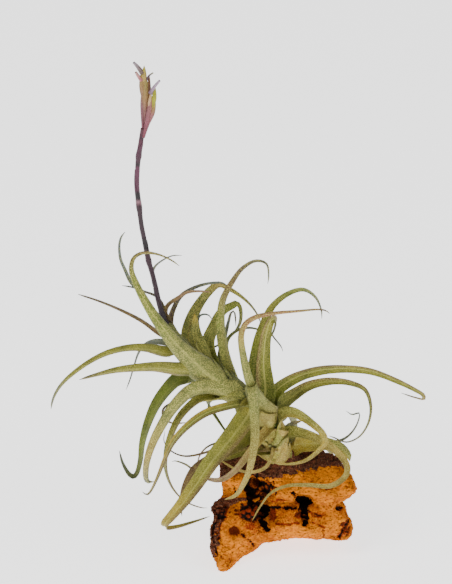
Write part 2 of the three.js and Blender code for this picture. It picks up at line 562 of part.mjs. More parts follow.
function petal(readings, radius, room = 0) {
  const curve = smoothCurve(readings.map(place));
  const radiusAt = (fraction) => radius * THREE.MathUtils.lerp(1, PETAL_TIP, fraction) + room;
  return stalk(curve, PETAL_STEPS, PETAL_SIDES, radiusAt);
}

function petalRoom() {
  return PETALS.map(([, readings, radius]) => petal(readings, radius, CLEARANCE))
    .reduce((all, one) => all.add(one));
}

function tallSpike() {
  return mainBody(bracts(TALL_SPIKE_BRACTS).subtract(flowerScape(CLEARANCE)).subtract(petalRoom()));
}

function shortSpike() {
  const neighbours = bracts(TALL_SPIKE_BRACTS, CLEARANCE).add(flowerScape(CLEARANCE)).add(petalRoom());
  return mainBody(bracts(SHORT_SPIKE_BRACTS).subtract(neighbours));
}

// The cork block: a rounded box whose sides follow the photograph, with named swells and hollows
const BLOCK_DIVISIONS = 16;
const BLOCK_ROUNDNESS = 9;
const FORM_SOFTNESS = 1.4;
const BLOCK_TOP = 50;
const BLOCK_FRONT = -9;
const BLOCK_BACK = 28;

// Left and right ends of the block: height and x
const LEFT_END = [[0, -29], [20, -28.5], [33, -28], [42, -28.5], [46, -31.5], [50, -32.5]];
const RIGHT_END = [[0, 34], [20, 34.5], [31, 33.5], [42, 35], [50, 37]];

// Named forms: middle (x, back, height), reach in each direction, and how far they push
const BLOCK_FORMS = [
  ["left_lump", [-30, -12, 18], [15, 17, 18], [-10, -9, 0]],
  ["left_foot", [-31, -14, 0], [12, 15, 14], [0, -13, -5]],
  ["lump_shoulder", [-33, -16, 33], [8, 12, 5.5], [-6, 0, 0]],
  ["upper_ledge", [16, -10, 42], [26, 8, 8], [0, -4, 0]],
  ["lower_ledge", [12, -10, 20], [34, 8, 10], [0, -3, 0]],
  ["front_undercut", [15, -6, 0], [30, 22, 14], [0, 2, 10.5]],
  ["middle_undercut", [-4, -8, 0], [9, 14, 11], [0, 4, 2]],
  ["right_upper_bulge", [36, -4, 40], [10, 15, 7], [4.5, 0, 0]],
  ["right_lower_bulge", [36, -4, 17], [10, 15, 10], [4.5, 0, -2]],
  ["groove", [4, -12, 31.5], [15, 8, 2.8], [0, 6, 0]],
  ["dark_hollow", [-12, -9, 40], [9.5, 11, 7.5], [1, 11, -1]],
  ["black_hole", [13, -12, 34], [4.4, 9, 6], [0, 11, 0]],
  ["hole_tail", [13, -12, 25], [3, 8, 5], [0, 8, 0]],
  ["crevice", [-8, -12, 27], [3.6, 12, 9], [0, 11, 0]],
  ["round_hole", [-23, -20, 20], [3.8, 7, 4], [0, 6, 0]],
  ["right_notch", [36, -4, 30.5], [8, 16, 4], [-5, 0, 0]],
  ["lump_shelf", [-26, -14, 38], [16, 12, 6], [0, 8, -2]],
  ["back_foot", [0, 22, 0], [44, 11, 9], [0, 0, -7]],
  ["back_right", [34, 26, 30], [18, 14, 30], [-3, -8, 0]],
  ["top_rise", [-14, 22, 50], [26, 18, 16], [0, 0, 3]],
  ["top_front", [10, -10, 50], [44, 12, 10], [0, 0, -3]],
  ["top_right", [36, 8, 50], [14, 30, 14], [0, 0, -2]],
  ["right_top_corner", [34, -8, 47], [10, 14, 8], [3.5, 0, 0]],
];

// Ripples of the bark and cork: reach of a wave along x, y and z, its phase and its height
const BLOCK_RIPPLES = [
  [0.31, 0.17, 0.23, 0.4, 0.5],
  [-0.21, 0.36, 0.44, 1.9, 0.4],
  [0.52, -0.43, 0.62, 2.6, 0.3],
  [0.74, 0.66, -0.87, 4.1, 0.2],
];

function between(table, height) {
  if (height <= table[0][0]) return table[0][1];
  for (let index = 1; index < table.length; index += 1) {
    const [low, from] = table[index - 1];
    const [high, to] = table[index];
    if (height <= high) return THREE.MathUtils.mapLinear(height, low, high, from, to);
  }
  return table[table.length - 1][1];
}

function ripple(point) {
  let total = 0;
  for (const [x, y, z, phase, height] of BLOCK_RIPPLES) {
    total += height * Math.sin(x * point.x + y * point.y + z * point.z + phase);
  }
  return total;
}

// From a point on the cube of half side 1 to a point on the block, with y as distance back
function blockPoint(cube) {
  const power = BLOCK_ROUNDNESS;
  const sum = Math.abs(cube.x) ** power + Math.abs(cube.y) ** power + Math.abs(cube.z) ** power;
  const round = cube.clone().divideScalar(sum ** (1 / power));
  const height = ((round.z + 1) / 2) * BLOCK_TOP;
  const left = between(LEFT_END, height);
  const right = between(RIGHT_END, height);
  const x = THREE.MathUtils.mapLinear(round.x, -1, 1, left, right);
  const back = THREE.MathUtils.mapLinear(round.y, -1, 1, BLOCK_FRONT, BLOCK_BACK);
  const point = new THREE.Vector3(x, back, height);
  for (const [, middle, reach, push] of BLOCK_FORMS) {
    const away = Math.hypot(
      (point.x - middle[0]) / reach[0],
      (point.y - middle[1]) / reach[1],
      (point.z - middle[2]) / reach[2],
    );
    point.addScaledVector(new THREE.Vector3(...push), Math.exp(-(away ** 2) * FORM_SOFTNESS));
  }
  const outward = round.clone().normalize();
  point.addScaledVector(outward, ripple(point));
  return new THREE.Vector3(point.x, point.y + STEM_PLANE, Math.max(point.z, 0));
}

function corkBlock() {
  const box = new THREE.BoxGeometry(2, 2, 2, BLOCK_DIVISIONS, BLOCK_DIVISIONS, BLOCK_DIVISIONS);
  box.deleteAttribute("normal");
  box.deleteAttribute("uv");
  const shape = mergeVertices(box);
  const position = shape.getAttribute("position");
  for (let index = 0; index < position.count; index += 1) {
    const point = blockPoint(new THREE.Vector3().fromBufferAttribute(position, index));
    position.setXYZ(index, point.x, point.y, point.z);
  }
  const deeper = STEM_AXIS.map(place);
  deeper[0].addScaledVector(STEM.getTangent(0), -HOLE_ROOM);
  const radiusAt = (fraction) => stemRadius(fraction) + HOLE_ROOM;
  const hole = stalk(smoothCurve(deeper), STEM_STEPS, STEM_SIDES, radiusAt);
  return mainBody(solidOf(shape).subtract(hole));
}

// The whole plant on its block

function named(name, solid, color, roughness) {
  const material = new THREE.MeshStandardMaterial({ color, roughness, metalness: 0 });
  const mesh = new THREE.Mesh(geometryOf(solid), material);
  mesh.name = name;
  return mesh;
}

const plant = new THREE.Group();
plant.add(named("cork_block", corkBlock(), 0xb9803f, 0.9));
plant.add(named("leafy_stem", leafyStem(), 0x8e9660, 0.75));
plant.add(named("flower_scape", flowerScape(), 0x4b3038, 0.6));
plant.add(named("spike_tall", tallSpike(), 0xa08a58, 0.6));
plant.add(named("spike_short", shortSpike(), 0xa07a5c, 0.6));
for (const [name, readings, radius] of PETALS) {
  plant.add(named(name, petal(readings, radius), 0x9a8797, 0.5));
}

export default plant;
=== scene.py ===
"""Air plant on a chunk of cork bark: its fine leaves, sheaths, scape, spikes, flowers and cork."""
import math

import bpy
import numpy as np
from bpy.props import FloatProperty, FloatVectorProperty, IntProperty, PointerProperty
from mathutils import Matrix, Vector, noise


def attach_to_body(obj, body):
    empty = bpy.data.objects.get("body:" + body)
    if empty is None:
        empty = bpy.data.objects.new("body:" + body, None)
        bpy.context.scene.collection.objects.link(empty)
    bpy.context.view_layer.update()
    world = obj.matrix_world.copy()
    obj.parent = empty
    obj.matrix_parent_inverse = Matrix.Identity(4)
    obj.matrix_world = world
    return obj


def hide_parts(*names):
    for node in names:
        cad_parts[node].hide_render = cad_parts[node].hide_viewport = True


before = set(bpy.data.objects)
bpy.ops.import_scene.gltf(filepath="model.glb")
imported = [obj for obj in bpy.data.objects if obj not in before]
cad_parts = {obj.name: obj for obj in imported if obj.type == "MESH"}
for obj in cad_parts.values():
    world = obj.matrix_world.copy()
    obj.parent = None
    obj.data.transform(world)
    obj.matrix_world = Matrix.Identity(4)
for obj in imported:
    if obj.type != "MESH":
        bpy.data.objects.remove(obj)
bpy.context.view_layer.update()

bl_info = {
    "name": "Air plant on cork bark",
    "version": (1, 0, 0),
    "blender": (4, 5, 0),
    "location": "3D View > Sidebar > Air plant",
    "description": "Builds a long-stemmed air plant on a chunk of cork bark, piece by piece",
    "category": "Add Mesh",
}

# Driving sizes, in millimetres
MILLIMETRE = 0.001
STEM_RADIUS = 4.5
APEX_RADIUS = 2.8
SHEATH_WIDTH = 9
SHEATH_REACH = 9
ROOT_DEPTH = 5
FLARE_REACH = 22
SHEATH_SWELL = 1.8
SCAPE_RADIUS = 1.3
SCAPE_TOP_RADIUS = 1.2

# How the plant is seen: places are read as column and row of the photograph, with the distance
# in millimetres behind the stem's plane, and turned into millimetres by the view below
MM_PER_PIXEL = 0.5
MIDDLE_COLUMN = 226
MIDDLE_ROW = 292
PICTURE_HEIGHT = 584
VIEW_DISTANCE = 1100
VIEW_TILT = math.radians(22)
TILT_COS = math.cos(VIEW_TILT)
TILT_SIN = math.sin(VIEW_TILT)
STEM_PLANE = -18
AIM = np.array([-27.5, STEM_PLANE, 147.5])
TO_VIEWER = np.array([0, -TILT_COS, TILT_SIN])


def place(readings):
    """Millimetres of readings given as column, row and distance behind the stem's plane."""
    column, row, back = np.asarray(readings, float).T
    across = (column - MIDDLE_COLUMN) * MM_PER_PIXEL
    up = (MIDDLE_ROW - row) * MM_PER_PIXEL
    far = VIEW_DISTANCE + back * TILT_COS
    height = (up * far - VIEW_DISTANCE * back * TILT_SIN) / (VIEW_DISTANCE * TILT_COS + up * TILT_SIN)
    side = across * (far - height * TILT_SIN) / VIEW_DISTANCE
    return AIM + np.stack([side, back, height], axis=-1)


def seen(points):
    """Column and row at which points given in millimetres are seen."""
    offset = points - AIM
    depth = VIEW_DISTANCE + offset[:, 1] * TILT_COS - offset[:, 2] * TILT_SIN
    scale = VIEW_DISTANCE / depth / MM_PER_PIXEL
    up = offset[:, 2] * TILT_COS + offset[:, 1] * TILT_SIN
    return MIDDLE_COLUMN + offset[:, 0] * scale, MIDDLE_ROW - up * scale


# The stem's axis, from its foot in the block to its apex
STEM_AXIS = [
  [279, 475, 6], [278, 464, 5], [277, 451, 3], [275, 438, 1], [268, 424, -1], [259, 410, -3],
  [247, 398, -3], [232, 389, -2], [216, 378, -1], [201, 364, 1], [188, 351, 2], [176, 337, 3],
  [168, 325, 3],
]

# The scape's axis, from its seat in the apex to the foot of the spikes
SCAPE_AXIS = [
  [170.5, 329, 3], [168, 325, 3], [164, 318.8, 4], [160, 306, 5], [155.3, 285.5, 6], [152.2, 273.2, 7],
  [148.6, 261, 8], [146, 248.6, 8], [144, 238.3, 8], [141.4, 225, 8], [139, 205, 8], [137, 185, 8],
  [137.4, 170, 8], [138.7, 155, 8], [141, 141, 8], [143, 128.5, 8],
]

# Paints of the leaves, by name: the colour and what it colours
LEAF_PAINTS = {
    "green": ["#64702C", "freshest leaves"],
    "olive": ["#78782C", "yellow-green leaves"],
    "grey": ["#71774A", "grey-green leaf bases"],
    "beige": ["#9E8856", "dry pale stretches"],
    "gold": ["#A69038", "yellow stretches and edges"],
    "brown": ["#69503A", "dry tips"],
    "rust": ["#875A48", "reddish stretches"],
    "umber": ["#46373A", "darkest threads"],
    "pink": ["#A88878", "pinkish stretches"],
    "shade": ["#4C5430", "dark green leaves"],
    "slate": ["#56605E", "blue-grey threads"],
}

# Look of the leaves behind the stem, in the same order as the looks of the others below
REAR_LOOK = [0.6, 0.2, "", "brown", "0 grey, 0.35 olive, 0.7 green, 0.92 umber"]

# Leaves, from the apex down: name, where the leaf leaves the stem (column, row), width in
# millimetres, how much wider its base is, how fast it narrows, how far in degrees its channel
# turns to the viewer, its midline, and its look: scurf, pale (or dark, below 0) crease, paints of
# its upper and lower edge or "", and its paints with the fraction of its length for each
LEAVES = [
  ["tall_front", [214, 378], 14.5, 0.5, 1.6, 0,
   [[205, 372, -6], [190, 358, -8], [176, 344, -9], [164, 329, -9], [153, 314, -9], [145, 301, -8],
    [139, 290, -7], [135, 281, -6], [132, 273, -5], [131.5, 266, -4], [134, 258, -2], [142, 253, 1],
    [157, 254, 4], [172, 260.5, 5], [179.4, 266, 4]],
   [0.8, 0.4, "grey", "", "0 grey, 0.3 grey, 0.45 green, 0.66 green, 0.8 brown, 0.95 umber"]],
  ["left_arch", [190, 355], 6.6, 0.9, 0.9, -40,
   [[178, 352, -2], [168, 353.5, -5], [147, 349, -11], [127, 349, -15], [106.5, 354, -18],
    [86, 364.5, -20], [65.5, 380.5, -20], [57, 391, -19], [52.5, 401, -18], [51, 409, -17]],
   [0.4, 0.2, "", "brown", "0 olive, 0.3 olive, 0.75 olive, 0.95 slate"]],
  ["left_straight", [205, 372], 8.6, 0.55, 0.75, -35,
   [[190, 372, -6], [178, 370.5, -10], [157, 368, -16], [137, 368.6, -22], [117, 370.6, -28],
    [96, 375.3, -34], [79, 379.8, -39]],
   [0.5, 0.3, "", "brown", "0 grey, 0.25 olive, 0.75 olive, 1 umber"]],
  ["behind_left_drop", [180, 345], 4.6, 0, 0.8, 30,
   [[170, 344, 6], [162, 342.5, 10], [155, 342.3, 14], [148, 344, 18], [142, 348.5, 22],
    [138, 355, 25], [134, 367, 28], [130, 380, 28], [126, 390, 27]],
   [0.3, 0, "", "", "0 shade, 0.4 slate, 1 slate"]],
  ["left_thread", [176, 340], 3.1, 0, 1, 40,
   [[167, 338, 6], [157, 331.7, 10], [142, 321, 17], [122, 310.6, 23], [100, 301.4, 28],
    [78, 294.2, 30]],
   [0.4, 0, "umber", "", "0 olive, 0.2 brown, 0.5 brown, 0.9 umber"]],
  ["apex_left_curl", [174, 335], 4, 0, 0.9, 40,
   [[165, 324, 9], [155, 312, 12], [145, 299, 14], [137, 288, 15], [130.6, 281, 15], [125, 269, 15],
    [121, 260, 14], [119.5, 251, 13], [119.6, 243, 12], [121.5, 236.5, 11], [125, 232, 10]],
   [0.4, 0, "", "", "0 olive, 0.35 shade, 0.7 slate, 1 slate"]],
  ["apex_low_curl", [170, 328], 3, 0, 1, 40,
   [[166, 316, 8], [161, 303, 12], [156, 296.5, 15], [144, 291.6, 18], [133, 287.6, 18],
    [122, 285.5, 16]],
   [0.4, 0, "", "", "0 olive, 0.5 umber, 0.9 slate"]],
  ["apex_right_curl", [169, 326], 3, 0, 1, 40,
   [[162, 314, 10], [159.5, 305, 13], [156, 292, 16], [152.5, 279, 18], [153.5, 268.5, 18],
    [161, 261, 15], [173, 255.5, 12], [182, 255.5, 11]],
   [0.4, 0, "", "", "0 olive, 0.4 umber, 0.8 slate"]],
  ["apex_right_inner", [170, 327], 3, 0, 0.8, 40,
   [[167, 319, 5], [165.5, 312, 7], [167, 306.5, 9], [171, 302.5, 11], [178, 297.8, 13],
    [185.5, 293.3, 15], [192.7, 291.6, 16], [205, 291.5, 17], [210, 292.2, 16]],
   [0.4, 0, "", "", "0 umber, 0.4 brown, 0.8 pink"]],
  ["apex_right_outer", [173, 332], 3.6, 0, 0.9, 40,
   [[171, 325, 9], [171, 318, 12], [173, 310, 14], [181, 296, 18], [195, 287.4, 20], [211, 283, 18],
    [223, 283, 15], [228, 286, 13]],
   [0.4, 0, "", "", "0 pink, 0.3 umber, 0.8 slate"]],
  ["high_arch", [197, 360], 11, 0.1, 1.3, 40,
   [[192, 350, 10], [188.5, 335, 17], [192, 319, 22], [200.8, 302.3, 26], [210, 291, 27],
    [219.5, 284, 25], [229, 288, 21], [240, 295, 19], [250, 304, 17], [257.5, 314.5, 15],
    [261.3, 324.6, 14]],
   [1.0, -0.3, "", "", "0 olive, 0.2 grey, 0.5 grey, 0.62 beige, 0.75 olive, 0.95 slate"]],
  ["cut_tip", [214, 375], 10.8, 0.1, 0.6, 40,
   [[207, 360, 6], [203.5, 350, 9], [197.3, 334.6, 12], [195.4, 319, 11], [194.6, 313.5, 10]],
   [1.0, 0.2, "", "", "0 grey, 0.4 grey, 0.8 grey, 0.93 gold"]],
  ["thin_hook", [210, 372], 3.2, 0, 1, 40,
   [[206, 360, 14], [200.5, 336, 20], [198, 320, 21], [200.5, 315, 21], [208, 314.6, 20],
    [213, 320.4, 19]],
   [0.3, 0, "", "", "0 shade, 0.5 slate, 1 slate"]],
  ["middle_hairpin", [222, 382], 13, 0, 1.4, 40,
   [[214, 368, 8], [209.5, 356, 13], [208.5, 342.3, 17], [214.2, 327, 21], [222.3, 311.5, 22],
    [233, 305, 21], [237.7, 303, 20], [240.6, 306.5, 19], [241.4, 318, 19], [237.5, 328.5, 23],
    [227, 340, 29]],
   [0.7, 0.2, "", "", "0 shade, 0.2 green, 0.4 grey, 0.6 green, 0.85 shade"]],
  ["middle_arch", [236, 390], 4, 0, 1, 40,
   [[231, 375, 14], [228, 360, 19], [226.5, 348, 20], [228.5, 338, 19], [238, 330, 19],
    [249, 327.7, 19], [260, 330, 17], [265, 333, 16]],
   [0.4, 0, "", "", "0 olive, 0.4 green, 0.7 shade, 1 slate"]],
  ["middle_thread", [238, 392], 3, 0, 1.2, 40,
   [[232, 378, 18], [228, 362, 24], [225, 350, 27], [221, 344.4, 28], [213, 347.3, 27],
    [194, 348.5, 24]],
   [0.4, 0, "", "", "0 shade, 0.4 slate, 1 slate"]],
  ["middle_crook", [232, 388], 8, 0.3, 1.6, 40,
   [[226, 375, 8], [222.5, 364, 12], [221.5, 354, 14], [223, 343, 14], [226.5, 330, 13],
    [229, 320, 12], [231.5, 312, 12], [234, 311, 12], [235.5, 317.5, 12], [235.8, 326, 11]],
   [0.4, 0, "", "", "0 shade, 0.4 shade, 0.7 slate, 1 umber"]],
  ["tall_arch", [246, 398], 13.2, -0.4, 1.2, 45,
   [[240, 388, 1], [236, 378, 3], [228.5, 357.7, 5], [224, 337, 5], [222.5, 318, 3],
    [224.5, 299, 1], [233.8, 280.8, 2], [243, 268.5, 4], [256, 261.2, 6], [266.3, 264, 6],
    [268.5, 277, 4], [267.7, 284, 3]],
   [0.9, -0.2, "", "", "0 grey, 0.35 grey, 0.5 green, 0.68 brown, 0.9 slate"]],
  ["front_crook", [264, 418], 9.2, 1.6, 1.45, -50,
   [[259, 406, -12], [252, 391, -15], [247.5, 379, -15], [243, 359.5, -12], [240.4, 339, -10],
    [241.6, 331, -9], [246, 323, -8], [256, 317, -8], [273.6, 313.4, -10], [297, 311.2, -14],
    [319.7, 309.5, -17], [326, 310.7, -18], [329.7, 313.6, -18]],
   [0.8, 0.3, "", "", "0 beige, 0.2 grey, 0.45 grey, 0.54 beige, 0.6 rust, 0.85 rust, 1 umber"]],
  ["right_crook", [258, 412], 9, 0, 1.1, 20,
   [[256, 398, 2], [254.5, 385, 5], [254, 370, 7], [257.5, 345, 8], [264.5, 322, 7],
    [273, 305.5, 6], [287.5, 293.8, 7], [303, 289.6, 9], [315.3, 297.3, 11], [321.3, 310.8, 11],
    [321.8, 319, 10]],
   [0.5, 0.2, "", "", "0 shade, 0.3 green, 0.6 olive, 0.75 green, 0.95 slate"]],
  ["folded_tip", [264, 416], 12.4, 0.3, 0.8, 45,
   [[265, 402, 0], [265.5, 390, 2], [263.5, 362, 1], [265.5, 338, -1], [268, 327, -2],
    [271.5, 319.5, -2], [275, 319.5, 0], [274.3, 327, 3], [270.5, 338, 7]],
   [0.6, 0.7, "", "brown", "0 olive, 0.2 green, 0.75 olive, 0.9 shade"]],
  ["thin_behind_fold", [262, 410], 3, 0, 1, 40,
   [[262, 395, 8], [263, 375, 10], [264, 355, 10], [266, 337, 8], [270, 333, 7], [275.4, 339.2, 7],
    [281.5, 347, 7], [282.8, 351.5, 6]],
   [0.3, 0, "", "", "0 shade, 0.5 slate, 1 slate"]],
  ["long_right_arch", [268, 420], 7.8, 0.4, 0.85, 40,
   [[271, 404, 4], [272, 396, 5], [280, 387, 6], [297, 376.8, 5], [320, 370, 2], [345, 368.3, -2],
    [371, 371, -6], [397, 380.6, -10], [415, 389.5, -13], [423.3, 394.8, -13], [423.6, 398.7, -12],
    [415.9, 397.5, -9], [401.2, 393, -4]],
   [0.4, 0.5, "brown", "", "0 green, 0.5 olive, 0.8 olive, 0.93 brown, 1 slate"]],
  ["right_drop", [271, 427], 9.8, 0.4, 1.9, 40,
   [[277, 412, 8], [281, 405, 10], [294, 395, 13], [310, 385.7, 15], [332, 381.5, 17],
    [352, 383.8, 18], [365, 390.3, 18], [370.4, 406, 16], [368.3, 422.5, 14], [359.3, 436.4, 12],
    [346.5, 442, 10], [334, 437.5, 9], [328.7, 435.8, 10]],
   [0.6, 0.3, "brown", "", "0 olive, 0.12 grey, 0.3 olive, 0.5 olive, 0.7 shade, 0.95 slate"]],
  ["right_fold_back", [276, 438], 9.8, 0.5, 1.6, 40,
   [[279, 424, -4], [283, 415, -7], [291, 412, -10], [299.5, 414.5, -13], [315.5, 426, -18],
    [324, 435, -20], [325.5, 443, -21], [320.5, 449, -22], [305.6, 460.5, -24], [286.4, 464.2, -25],
    [267.2, 460, -25], [256.5, 453.5, -23]],
   [0.8, 0.2, "", "gold", "0 grey, 0.12 olive, 0.28 olive, 0.42 olive, 0.6 beige, 1 beige"]],
  ["front_hanging", [254, 404], 7.8, 0.1, 0.65, -30,
   [[253, 394, -11], [252.6, 388, -15], [253.4, 389, -19], [255, 405, -22], [255.5, 420, -25],
    [255.5, 439, -30], [253, 456, -34],
    [249.3, 471.5, -35], [243, 485.4, -35], [235.5, 495.3, -33], [224.6, 499.5, -32]],
   [0.9, 0.2, "", "", "0 grey, 0.1 grey, 0.4 grey, 0.75 beige, 0.95 beige"]],
  ["low_front_folded", [262, 414], 15.2, 0, 0.9, 45,
   [[252, 408, -10], [247, 417, -14], [231, 439, -22], [211.5, 462.5, -28], [195.5, 486, -32],
    [182.5, 503.5, -34], [170.5, 517.5, -34], [165.5, 523, -33], [165.5, 526.5, -31],
    [176, 525.8, -28], [193, 521.4, -26], [209.8, 516.3, -26]],
   [0.5, 0.35, "", "brown", "0 beige, 0.2 olive, 0.5 olive, 0.75 gold, 0.93 olive, 1 slate"]],
  ["brown_behind_front", [264, 426], 11.5, 0.3, 0.9, 30,
   [[253, 430, -5], [245, 440, -9], [219, 456, -16], [195.5, 470, -22], [184.5, 489, -25],
    [181.5, 506, -26], [181.8, 516, -25]],
   [0.3, 0.1, "", "", "0 shade, 0.2 olive, 0.5 brown, 0.8 brown, 1 umber"]],
  ["two_tone_drop", [250, 406], 6.4, -0.2, 0.8, 75,
   [[243, 405.5, -10], [225, 407.5, -17], [205, 414, -22], [188, 426, -25], [174, 441.5, -25],
    [165, 460, -23], [157, 479.4, -21], [149.5, 493, -19], [146.5, 494.8, -19], [142.5, 491.8, -18]],
   [0.4, 0.7, "gold", "brown", "0 olive, 0.5 green, 0.75 brown, 1 slate"]],
  ["long_left_drop", [236, 396], 7.6, 0.2, 0.8, 40,
   [[222, 399, -4], [208, 400, -6], [199.4, 401, -8], [183, 415, -13], [173, 433, -16],
    [167.5, 451, -16], [166.8, 470.5, -14], [173.5, 488.5, -12], [186, 501.5, -10], [202, 507.7, -9],
    [207, 507.8, -9]],
   [0.7, 0.2, "", "brown", "0 grey, 0.1 olive, 0.5 olive, 0.7 shade, 0.95 slate"]],
  ["grey_left_drop", [228, 390], 10.8, 0.15, 0.6, -32,
   [[214, 389, -8], [202, 389.5, -11], [192, 392.5, -13], [175.5, 408, -17], [161.5, 429, -19],
    [151.3, 450.6, -20], [146.5, 470.5, -19], [148.2, 482.2, -17], [155, 481.5, -15]],
   [1.0, 0.3, "", "", "0 grey, 0.5 grey, 0.75 beige, 0.95 slate"]],
  ["green_left_drop", [205, 378], 10.6, 0.2, 0.85, 38,
   [[190, 380, 3], [179, 381.5, 3], [171.5, 387.5, 2], [158.5, 404, 0], [149.5, 423, -2],
    [143.8, 442, -3], [141.2, 461.5, -3], [137, 474.5, -3], [133.5, 477, -3], [129.2, 474.8, -3],
    [122.3, 463, -3], [119.3, 450.6, -3]],
   [0.25, 0.1, "", "", "0 grey, 0.1 green, 0.6 green, 0.8 shade, 1 slate"]],
  ["dark_behind_drop", [226, 388], 7.5, 0.3, 1, 30,
   [[215, 396, 6], [209, 403, 9], [214, 412, 11], [226, 431, 13], [237, 447, 14]],
   [0.3, 0, "", "", "0 shade, 0.6 green, 1 shade"]],
  ["left_hook_thread", [212, 386], 3, 0, 1.2, 40,
   [[205, 392, 8], [195, 396, 10], [186, 399, 11], [171.5, 403.5, 11], [163.2, 409.3, 9],
    [164, 418, 7], [173, 423.3, 5], [187, 422.5, 5]],
   [0.5, 0, "", "", "0 shade, 0.4 slate, 0.7 umber, 1 pink"]],
  ["left_loop_thread", [246, 404], 3, 0, 1.4, 40,
   [[238, 420, 4], [228, 436, 6], [214, 449, 7], [199.4, 454.4, 7], [184, 456.2, 6], [171, 451, 4],
    [163.9, 441, 3], [165, 431, 3]],
   [0.6, 0, "", "", "0 slate, 0.4 pink, 0.8 umber, 1 slate"]],
  ["low_hook_thread", [252, 412], 3, 0, 1.4, 40,
   [[243, 425, 10], [233, 437, 12], [226, 443, 13], [214.5, 443.7, 12], [204, 449.8, 10],
    [198.2, 460.5, 9], [200, 469, 8], [203, 472, 8]],
   [0.6, 0, "", "", "0 slate, 0.6 slate, 1 pink"]],
  ["short_curl_thread", [252, 410], 2.8, 0, 1.4, 40,
   [[244, 416, 6], [238, 420.5, 8], [229.5, 426, 9], [224.6, 434.5, 9], [224.3, 439, 8]],
   [0.6, 0, "", "", "0 umber, 1 slate"]],
  ["block_front_sweep", [276, 436], 6.8, 0.3, 1.1, 30,
   [[271, 428, -6], [266, 432, -10], [256, 444.5, -16], [245, 459, -20], [234.5, 471.3, -22],
    [222.3, 479.3, -22], [209.2, 478.8, -17], [196, 471.7, -12], [186, 464.4, -10],
    [175, 460.8, -10], [171.7, 461.5, -10]],
   [0.8, -0.3, "", "", "0 beige, 0.35 beige, 0.6 pink, 0.8 umber, 1 slate"]],
  ["thin_front_u", [278, 446], 2.6, 0, 0.7, 40,
   [[273, 449, -8], [271.5, 456, -12], [265, 467.5, -17], [251.5, 472, -18], [236.5, 469.2, -16],
    [224, 462.3, -14], [219, 459, -13]],
   [0.6, 0, "", "", "0 beige, 1 beige"]],
  ["block_wrap", [281, 446], 6.4, 0.6, 1.1, 40,
   [[284, 436, -2], [290, 432.5, -2], [311, 436.5, -4], [331.5, 447.5, -7], [345.5, 463, -10],
    [347.2, 470, -12], [345, 477, -15], [331, 486, -18], [308, 485.3, -19], [287.5, 486, -19.5],
    [271.5, 492.8, -20], [261, 505.5, -21.5], [252.3, 520.5, -25]],
   [0.8, 0.2, "", "", "0 olive, 0.15 olive, 0.35 beige, 0.7 beige, 1 beige"]],
  ["broad_grey_right", [280, 452], 10.5, 0.3, 0.5, 50,
   [[286, 446, 6], [297, 444.5, 8], [319, 443.5, 9], [339, 446.5, 6], [345, 450.7, 4],
    [348.7, 456, 3], [349.8, 461.5, 3]],
   [0.8, 0.3, "", "gold", "0 beige, 0.3 gold, 0.6 olive, 0.8 grey, 1 grey"]],
  ["hooked_right", [279, 446], 5.5, 0, 1.4, 40,
   [[286, 440, 12], [297, 438.5, 16], [320, 441.5, 20], [337, 442, 19], [349, 435.7, 17],
    [357.3, 424, 16], [359.2, 413, 15], [352, 414.5, 13], [346, 410.8, 12]],
   [0.5, 0.1, "", "", "0 beige, 0.3 olive, 0.45 umber, 0.6 slate, 1 slate"]],
  ["small_grey_right", [281, 440], 6, 0, 0.8, 30,
   [[286, 430, 13], [290, 425.5, 18], [296, 422.8, 22], [303, 420.4, 26]],
   [0.9, 0.1, "", "", "0 grey, 0.6 slate, 1 pink"]],
  ["small_grey_low", [281, 443], 5.5, 0, 0.8, 30,
   [[288, 434.5, 4], [292, 431.5, 7], [300, 428, 11]],
   [0.9, 0.1, "", "", "0 grey, 1 beige"]],
  ["over_bark", [276, 453], 7.5, 0.3, 0.6, 30,
   [[266, 453, -2], [256, 452, -3], [246, 452.5, -4], [236, 455, -5], [228, 458.5, -6],
    [221, 461.5, -7]],
   [0.5, 0.2, "brown", "", "0 beige, 0.3 olive, 0.8 olive, 1 brown"]],
  ["short_over_bark", [277, 450], 5, 0, 0.7, 30,
   [[272, 450, -7], [265, 450.5, -11], [258, 452, -14]],
   [0.5, 0.1, "", "", "0 beige, 1 brown"]],
  ["rear_low", [276, 437], 8, 0, 0.8, 0,
   [[276, 425, 12], [275, 418, 22], [273, 415, 34], [270, 418, 46], [266, 426, 56], [262, 437, 63],
    [259, 450, 66]], REAR_LOOK],
  ["rear_middle", [262, 416], 8, 0.3, 0.8, 0,
   [[262, 402, 10], [262, 390, 18], [262, 378, 28], [263, 368, 38], [264.5, 362, 50], [266, 362, 60],
    [267, 368, 68], [267, 377, 73]], REAR_LOOK],
  ["rear_left", [240, 394], 8, 0.3, 0.8, 0,
   [[236, 386, 10], [233, 377, 20], [229, 368, 32], [226, 362, 44], [224, 361, 55], [223, 365, 64],
    [223, 372, 70]], REAR_LOOK],
  ["rear_far_left", [222, 383], 7.5, 0.3, 0.8, 0,
   [[217, 377, 10], [212, 371, 20], [207, 366, 32], [203, 364, 44], [199, 366, 54], [196, 371, 62],
    [194, 378, 67]], REAR_LOOK],
  ["rear_upper", [205, 368], 7, 0.3, 0.8, 0,
   [[198, 360, 10], [191, 353, 20], [184, 348, 30], [178, 346, 40], [173, 348, 48], [170, 353, 54],
    [169, 358, 58]], REAR_LOOK],
  ["rear_right", [273, 431], 8, 0.3, 0.8, 0,
   [[281, 421, 10], [286, 417, 22], [290, 416, 34], [293, 419, 46], [295, 427, 56], [296, 438, 64],
    [297, 450, 69]], REAR_LOOK],
  ["rear_foot", [279, 448], 7.5, 0, 0.8, 0,
   [[279, 438, 14], [278, 430, 26], [276, 432, 38], [273, 444, 48], [268, 458, 58], [262, 474, 66]],
   REAR_LOOK],
  ["rear_foot_right", [281, 444], 7.5, 0, 0.8, 0,
   [[288, 443, 16], [298, 441, 28], [309, 441, 40], [320, 445, 50], [330, 453, 57], [337, 465, 62],
